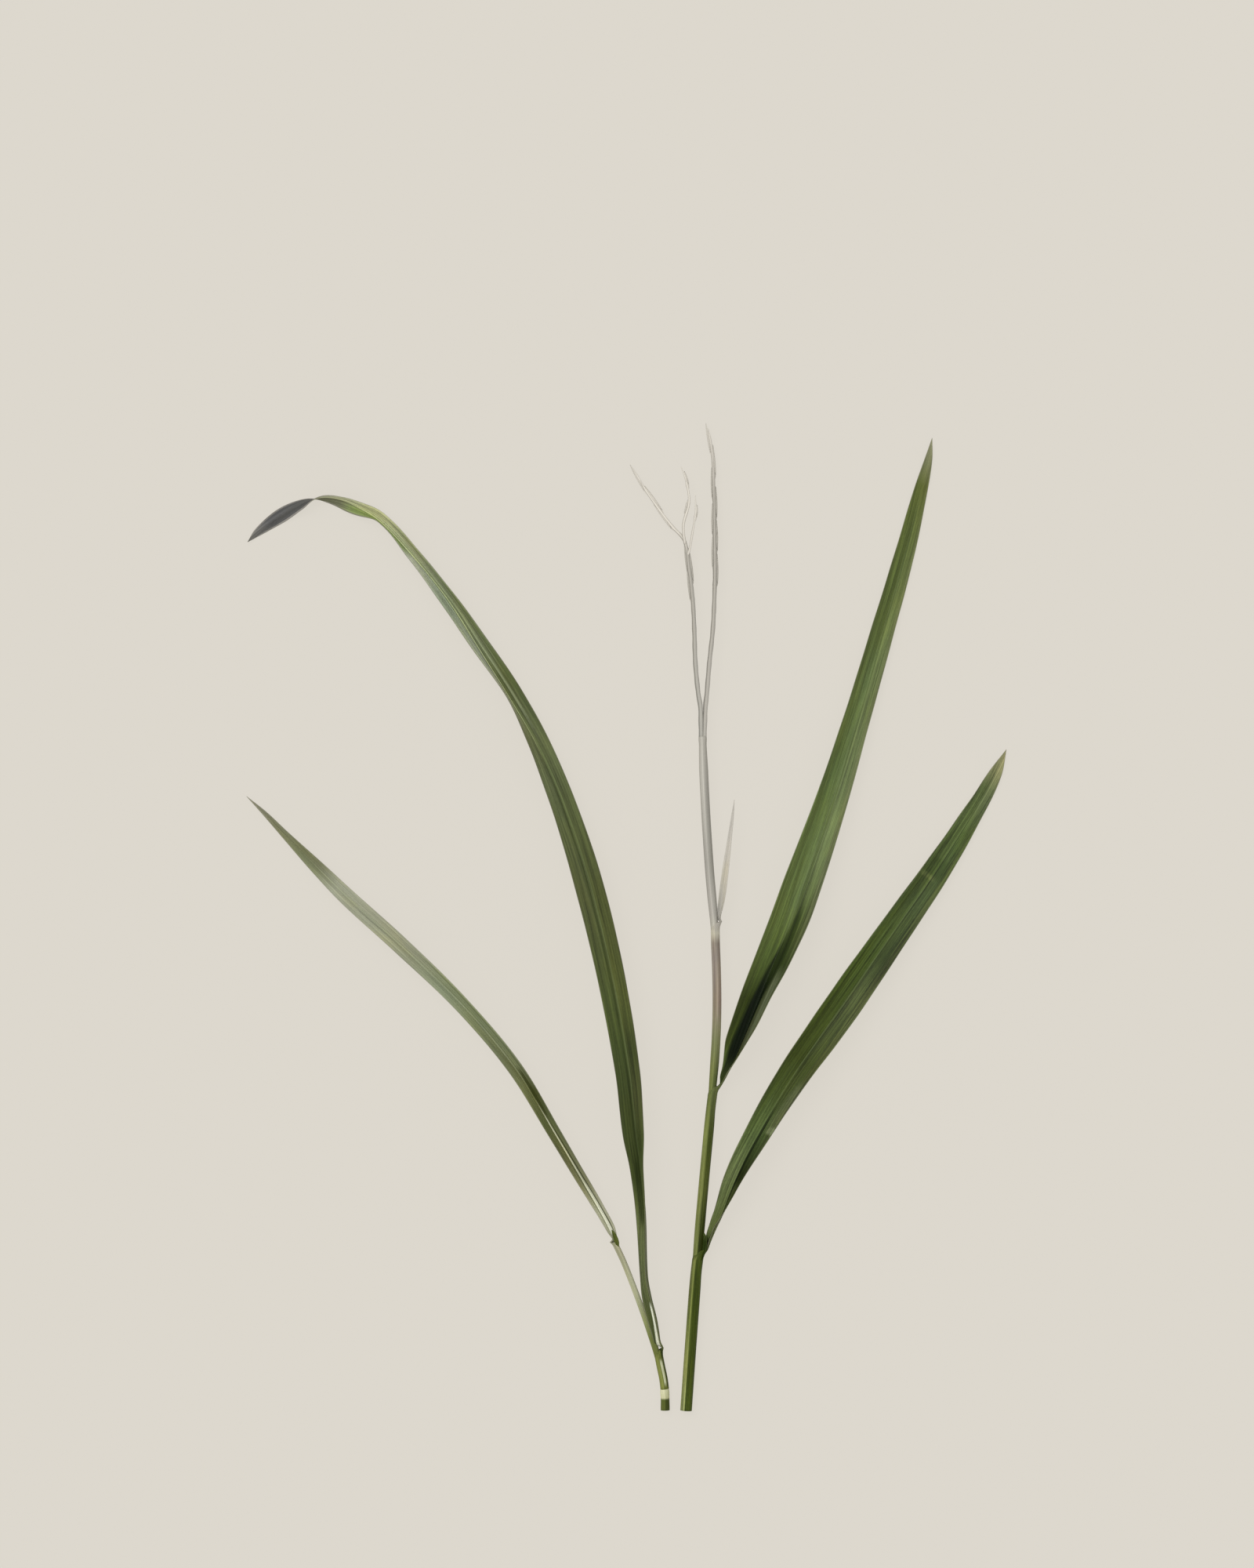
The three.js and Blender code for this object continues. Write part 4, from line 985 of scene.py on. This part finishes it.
# Dark colour, which is painted shade, and pale colour, and rows of x, y, z, half-width, fold, roll, curl and
# thickness.
LIGULES = {
    "ligule_lower": ((54, 68, 28), (96, 108, 60), [
        (6.9, 46, 4.5, 0.45, 0, 50, 25, 0.2),
        (7.4, 48, 4.62, 1.15, 0, 50, 25, 0.2),
        (7.75, 50.5, 4.7, 1.45, 0, 50, 22, 0.2),
        (7.9, 52.8, 4.8, 1.15, 0, 48, 20, 0.18),
        (7.86, 53.9, 4.86, 0.6, 0, 46, 18, 0.15),
        (7.85, 54.4, 4.9, 0.1, 0, 45, 15, 0.1),
    ]),
    "ligule_left": ((92, 102, 48), (112, 120, 66), [
        (-18.5, 50.3, 5.1, 0.3, 0, 0, -25, 0.22),
        (-18.72, 51.2, 5.36, 0.6, 0, 0, -25, 0.24),
        (-19.1, 52.4, 5.5, 0.72, 0, 0, -25, 0.24),
        (-19.6, 53.7, 5.56, 0.6, 0, 0, -22, 0.2),
        (-20.05, 54.7, 5.58, 0.34, 0, 0, -20, 0.15),
        (-20.4, 55.4, 5.58, 0.06, 0, 0, -20, 0.1),
    ]),
    "ligule_arching": ((52, 60, 28), (96, 102, 60), [
        (-5.3, 15.8, 2.95, 0.2, 0, 24, -25, 0.18),
        (-5.3, 16.8, 3.15, 0.5, 0, 24, -25, 0.2),
        (-5.35, 17.8, 3.3, 0.56, 0, 24, -22, 0.2),
        (-5.4, 18.7, 3.4, 0.4, 0, 24, -20, 0.16),
        (-5.45, 19.3, 3.45, 0.06, 0, 24, -20, 0.1),
    ]),
}
for seed, (name, (dark, pale, rows)) in enumerate(LIGULES.items(), start=57):
    lobe = Leaf(rows, step=0.3, half_strips=7)
    lobe.collar = -20  # far below its foot, since a ligule has no collar of its own
    piece = mesh_piece(name, [leaf_part(lobe, grass_relief(lobe, lobe.collar, 2, 0.02, 0.02, 0.01, seed))])
    put(piece, leaf_material(name + "_skin", lobe, ligule_looks(dark, pale), seed), "leaf_dark_green")


# ---- Stems -------------------------------------------------------------------------------------
def culm_part(axis, radius, end, swell=()):
    """A culm with fine ribs and a swollen node wherever swell says (distance, height, reach)."""
    ys = np.arange(0, end + 0.01, 0.7)
    radii = radius(ys)
    for place, height, reach in swell:
        radii = radii + height * np.exp(-(((ys - place) / reach) ** 2))
    kernel = np.array([1, 2, 1]) / 4
    inner = np.convolve(np.pad(radii, 1, mode="edge"), kernel, mode="valid")
    return tube(axis.point(ys), axis.heading(ys), inner, sides=36, ribs=12, rib_height=0.012)


CUT_PITH, CUT_RIND = (188, 190, 140), (120, 128, 70)
LEFT_CUT_PITH, LEFT_CUT_RIND = (190, 192, 146), (118, 126, 70)
RIGHT_STEM_TOP = RING + 1.4
LEFT_STEM_TOP = LEFT_COLLAR - 1
LEFT_NODE_SWELLING = (5.4, 0.08, 0.8)

right_culm = mesh_piece("right_stem", [culm_part(RIGHT_AXIS, right_culm_radius, RIGHT_STEM_TOP)])
# The first colour list, the left flank, is lighter as painted light from the left; the second, the right
# flank, is darker as painted shade. The edges carry painted shade and there is a painted highlight.
put(right_culm, stem_material(
    "right_stem_skin", FORK,
    [(0, 108, 118, 60), (145, 150, 144, 134), (148, 188, 185, 172), (152, 176, 172, 164),
     (168, 166, 163, 155), (190, 188, 185, 176), (204, 182, 179, 170), (214, 170, 167, 158)],
    [(0, 66, 76, 34), (145, 150, 144, 134), (148, 186, 183, 170), (152, 168, 165, 157),
     (168, 152, 150, 141), (190, 160, 157, 149), (204, 170, 167, 158), (214, 170, 167, 158)],
    (CUT_PITH, CUT_RIND), 61, rim_shading=0.12, shine=0.1), "culm_green", "right_culm")

left_culm = mesh_piece("left_stem", [
    culm_part(LEFT_AXIS, left_culm_radius, LEFT_STEM_TOP, [LEFT_NODE_SWELLING])])
# The first colour list, the left flank, is lighter as painted light; the second, the right flank, is darker
# as painted shade.
put(left_culm, stem_material(
    "left_stem_skin", 50,
    [(0, 92, 100, 48), (3.3, 88, 98, 46), (3.9, 206, 205, 164), (6.6, 214, 213, 178),
     (7.4, 110, 116, 60), (50, 120, 126, 80)],
    [(0, 66, 74, 34), (3.3, 64, 72, 32), (3.9, 190, 190, 148), (6.6, 200, 200, 164),
     (7.4, 90, 96, 46), (50, 110, 116, 70)],
    (LEFT_CUT_PITH, LEFT_CUT_RIND), 67), "culm_green", "left_culm")


# ---- Panicle -----------------------------------------------------------------------------------
def along_points(points):
    """A smooth curve through points by distance along them, and its length."""
    rows = np.array(points, float)
    keys = np.concatenate([[0], np.cumsum(np.linalg.norm(np.diff(rows, axis=0), axis=1))])
    return curve_through(keys, rows), keys[-1]


class Branch:
    """A tapering branch through written points, from a foot hidden inside what it grows from."""

    def __init__(self, node, foot, points, radius, tip):
        self.node, self.radius, self.tip = node, radius, tip
        self.at, self.length = along_points(points)
        self.whole, self.reach = along_points([*foot, *points])

    def point(self, share):
        return self.at(np.atleast_1d(share) * self.length)

    def heading(self, share):
        share = np.atleast_1d(np.asarray(share, float))
        after = self.point(np.minimum(share + 0.01, 1))
        return unit(after - self.point(np.maximum(share - 0.01, 0)))

    def radius_at(self, share):
        return self.radius + (self.tip - self.radius) * share**2

    def part(self, bumps):
        where = np.linspace(0, self.reach, int(self.reach / 0.7))
        centres = self.whole(where)
        after = self.whole(np.minimum(where + 0.3, self.reach))
        headings = unit(after - self.whole(np.maximum(where - 0.3, 0)))
        shares = np.clip((where - self.reach + self.length) / self.length, 0, 1)
        radii = self.radius_at(shares) * (1 + 0.05 * np.sin(where * 1.1))
        for place in bumps:
            radii = radii + 0.1 * np.exp(-(((shares - place) * self.length / 0.7) ** 2))
        radii = radii * np.sqrt(np.clip((self.reach - where) / 3, 0.12, 1))
        return tube(centres, headings, radii, sides=16, ribs=5, rib_height=0.06, pith=False)


RIGHT_BRANCH = Branch("panicle_right_branch", [(7.75, 203.5, 5), (7.95, 209, 4.95)], [
    (8.2, FORK + 1, 4.8),
    (8.6, 218.9, 4.8),
    (9.4, 228.5, 4.8),
    (10.4, 238, 4.7),
    (10.9, 247.6, 4.5),
    (11.1, 257.2, 4.2),
    (11, 266.7, 3.8),
    (10.8, 281.1, 2.9),
    (10.3, 291.9, 2.1),
    (9.1, 300, 1.4),
], 0.7, 0.3)
LEFT_BRANCH = Branch("panicle_left_branch", [(6.9, 203.5, 5), (6.8, 209, 4.95)], [
    (6.65, FORK + 1, 4.8),
    (6, 218.9, 4.8),
    (5.1, 228.5, 4.7),
    (4.8, 238, 4.5),
    (4.3, 247.6, 4.2),
    (3.2, 257.2, 3.8),
    (1.8, 265.6, 3.4),
    (-1.9, 269.9, 3),
    (-5, 273.9, 2.6),
    (-9.6, 280.4, 1.9),
    (-13.9, 287.8, 1.2),
], 0.7, 0.22)
UPPER_TWIG = Branch("panicle_upper_twig", [(2.0, 264.6, 3.55)], [
    (1.55, 267.4, 4.2),
    (1.5, 270.8, 4.3),
    (3.2, 277.5, 4),
    (2.2, 284.2, 3.5),
    (0.7, 288.3, 3.1),
], 0.42, 0.18)
SIDE_TWIG = Branch("panicle_side_twig", [(2.6, 260.6, 3.65)], [
    (3.35, 263, 4),
    (4.3, 268.5, 4.2),
    (5.2, 274.5, 4),
    (5.1, 279.5, 3.6),
], 0.336, 0.16)

# Where each spikelet sits on its host: share along it, side, and how faded it is.
SPIKELETS = [(host, *row) for host, rows in (
    (RIGHT_BRANCH, [(0.44, 1, 0), (0.5, -1, 0), (0.56, 1, 0), (0.62, -1, 0), (0.68, 1, 0),
                    (0.75, -1, 0), (0.83, 1, 0.45), (0.91, -1, 0.8)]),
    (LEFT_BRANCH, [(0.42, -1, 0), (0.49, 1, 0), (0.53, -1, 0), (0.72, -1, 0.85), (0.8, 1, 0.9),
                   (0.9, -1, 0.9)]),
    (UPPER_TWIG, [(0.3, -1, 0.8), (0.72, 1, 0.7)]),
    (SIDE_TWIG, [(0.6, 1, 0.9)]),
) for row in rows]
SPIKELET_LENGTH = 9.5  # on a long branch
SPIKELET_RADIUS = 0.4
SPIKELET_GAP = -0.34  # the husks press against their branch

FADED_CUT = [(190, 186, 176), (180, 176, 166)]
# The colours of each branch's left and right flank.
STRAW = {
    RIGHT_BRANCH: (
        [(0, 160, 158, 150), (12, 164, 160, 152), (38, 170, 166, 157), (75, 166, 162, 153),
         (86, 186, 181, 172), (97, 212, 207, 197)],
        [(0, 176, 173, 165), (12, 180, 176, 168), (38, 170, 166, 158), (75, 168, 164, 155),
         (86, 189, 184, 175), (97, 213, 208, 198)]),
    LEFT_BRANCH: (
        [(0, 158, 156, 149), (12, 162, 160, 152), (38, 166, 162, 153), (58, 170, 166, 157),
         (66, 208, 203, 193), (97, 216, 211, 201)],
        [(0, 176, 174, 166), (12, 176, 173, 165), (38, 172, 169, 161), (58, 174, 170, 161),
         (66, 210, 205, 195), (97, 217, 212, 202)]),
    UPPER_TWIG: ([(0, 206, 201, 191), (24, 211, 206, 196)], [(0, 209, 204, 194), (24, 213, 208, 198)]),
    SIDE_TWIG: ([(0, 208, 203, 193), (20, 213, 208, 198)], [(0, 210, 205, 195), (20, 214, 209, 199)]),
}
HUSK, FADED_HUSK = (188, 184, 174), (216, 211, 201)
TIP_FADING = 0.3  # how far each husk fades towards its tip


def between(a, b, share):
    return tuple(x + (y - x) * share for x, y in zip(a, b))


def plain_relief(q, s, half, thickness):
    """The relief of a husk: thin margins, and three veins a side on the outer face."""
    base = thickness / 2 * (1 - 0.6 * np.abs(s) ** 4)
    veins = 0.018 * np.cos(3 * 2 * np.pi * np.abs(s))
    return base, base + veins


# Share of the length, and of the half-width there.
GLUME_OUTLINE = ((0, 0.35), (0.2, 0.9), (0.45, 1), (0.72, 0.72), (0.9, 0.34), (1, 0.04))
GRAIN_OUTLINE = ((0, 0.1, 0.3, 0.45, 0.7, 0.9, 1), (0.16, 0.6, 0.95, 1, 0.85, 0.4, 0.06))
# Share of the spikelet's length, half-width, and how far the husk stands away from the grain.
OUTER_GLUME, INNER_GLUME = (0.97, 0.5, 0.26), (0.62, 0.42, 0.24)
STALK_LENGTH = 1.4


def glume(base, heading, side, length, half, away):
    """A small boat-shaped husk that clasps the grain from one side."""
    right, _ = cross_axes(heading)
    rows = []
    for share, wide in GLUME_OUTLINE:
        out = away * np.sin(np.pi * min(share * 0.9 + 0.1, 1)) + 0.1
        middle = base + heading * length * share + right * side * out
        rows.append([*middle, max(half * wide, 0.03), 0, side * 90, 70, 0.09])
    return Leaf(rows, step=0.22, half_strips=6)


def spikelet_parts(host, share, side):
    """A grain on its short stalk, between a long outer husk and a shorter inner one."""
    heading = host.heading(share)[0]
    right, _ = cross_axes(heading)
    length = min(SPIKELET_LENGTH, 1.5 + 0.14 * host.length)
    lean = unit(host.heading(share + length / host.length / 2)[0] - right * side * 0.01)
    foot = host.point(share)[0]
    base = foot + right * side * (host.radius_at(share) + SPIKELET_GAP + SPIKELET_RADIUS)
    shares = np.linspace(0, 1, 15)
    outline = np.interp(shares, *GRAIN_OUTLINE)
    grain = tube(base + lean * length * shares[:, None], np.repeat(lean[None], 15, axis=0),
                 outline * SPIKELET_RADIUS * 0.82, sides=14, ribs=7, rib_height=0.04, pith=False)
    below = foot - heading * STALK_LENGTH
    way = np.linspace(0, 1, 7)[:, None]
    stalk = below * (1 - way) ** 2 + 2 * (base - lean * 1.0) * way * (1 - way) + (base + lean * 0.25) * way**2
    stalk_heading = unit(np.gradient(stalk, axis=0))
    pedicel = tube(stalk, stalk_heading, np.linspace(0.15, 0.2, 7), sides=8, pith=False)
    parts = [grain, pedicel]
    for towards, (reach, half, away) in ((side, OUTER_GLUME), (-side, INNER_GLUME)):
        shell = leaf_part(glume(base, lean, towards, length * reach, half, away), plain_relief)
        shell.maps["face"] = shell.maps["face"] * 0
        parts.append(shell)
    return parts


for seed, (host, (low, high)) in enumerate(STRAW.items(), start=71):
    label = host.node.replace("panicle", "straw")
    bumps = [share for other, share, _, _ in SPIKELETS if other is host]
    # Painted shade at each branch's edges, painted light down its middle, and a painted highlight.
    skin = stem_material(label + "_skin", host.reach, low, high, FADED_CUT, seed, ribs=5, streak=0.3,
                         rim_shading=0.22, shine=0.14)
    put(mesh_piece(label, [host.part(bumps)]), skin, "faded_straw", host.node)
husks = {}
for number, (host, share, side, faded) in enumerate(SPIKELETS, start=1):
    if faded not in husks:
        pale = between(HUSK, FADED_HUSK, faded)
        tip = between(pale, FADED_HUSK, TIP_FADING)
        looks = [(0, *pale), (SPIKELET_LENGTH * 0.6, *pale), (SPIKELET_LENGTH, *tip)]
        husks[faded] = stem_material(f"husk_skin_{len(husks) + 1}", SPIKELET_LENGTH, looks, looks,
                                     FADED_CUT, 80 + len(husks), ribs=7, streak=0.25)
    piece = mesh_piece(f"grain_{number:02d}", spikelet_parts(host, share, side))
    put(piece, husks[faded], "faded_straw", f"spikelet_{number:02d}")


# ---- Floor, light and camera -------------------------------------------------------------------
def display(colour):
    return tuple(((v / 255 + 0.055) / 1.055) ** 2.4 for v in colour)


FLOOR_COLOUR = display((221, 216, 206))
FLOOR_GLOW = 0.9  # the rest of the floor's brightness is lit, and takes faint shadows
SKY = 0.7
SUN_SHARE = 0.3
SKY_COLOUR = (1.0, 0.985, 0.955, 1)
SUN_TILT = (math.radians(24), math.radians(-20))
SUN_SPREAD = math.radians(35)
FLOOR_REACH = 4.0
PICTURE_HEIGHT = 478.5  # millimetres of the plant's plane that the picture's height takes in
LENS = 135.0
SENSOR = 36.0
FAR_CLIP = 20
AIM = (0.16, 41.4, 4.0)


def make_floor():
    mesh = bpy.data.meshes.new("floor")
    far = FLOOR_REACH
    mesh.from_pydata([(-far, -far, 0), (far, -far, 0), (far, far, 0), (-far, far, 0)], [], [(0, 1, 2, 3)])
    floor = bpy.data.objects.new("floor", mesh)
    bpy.context.scene.collection.objects.link(floor)
    material = bpy.data.materials.new("pale_paper")
    material.use_nodes = True
    shader = material.node_tree.nodes["Principled BSDF"]
    shader.inputs["Base Color"].default_value = (*[v * (1 - FLOOR_GLOW) for v in FLOOR_COLOUR], 1)
    shader.inputs["Roughness"].default_value = 1.0
    shader.inputs["Specular IOR Level"].default_value = 0.0
    shader.inputs["Emission Color"].default_value = (*FLOOR_COLOUR, 1)
    shader.inputs["Emission Strength"].default_value = FLOOR_GLOW
    mesh.materials.append(material)


def make_light():
    world = bpy.data.worlds.new("soft_sky")
    world.use_nodes = True
    back = world.node_tree.nodes["Background"]
    back.inputs["Color"].default_value = SKY_COLOUR
    back.inputs["Strength"].default_value = SKY
    bpy.context.scene.world = world
    lamp = bpy.data.lights.new("soft_sun", "SUN")
    lamp.energy = SUN_SHARE * math.pi / (math.cos(SUN_TILT[0]) * math.cos(SUN_TILT[1]))
    lamp.angle = SUN_SPREAD
    sun = bpy.data.objects.new("soft_sun", lamp)
    sun.rotation_euler = (-SUN_TILT[0], SUN_TILT[1], 0)
    bpy.context.scene.collection.objects.link(sun)


def make_camera():
    data = bpy.data.cameras.new("camera")
    data.lens = LENS
    data.sensor_width = SENSOR
    data.clip_end = FAR_CLIP
    camera = bpy.data.objects.new("camera", data)
    distance = PICTURE_HEIGHT * LENS / SENSOR
    camera.location = [v * MM for v in (AIM[0], AIM[1], AIM[2] + distance)]
    bpy.context.scene.collection.objects.link(camera)
    bpy.context.scene.camera = camera


make_floor()
make_light()
make_camera()
bpy.context.scene.view_settings.view_transform = "Standard"
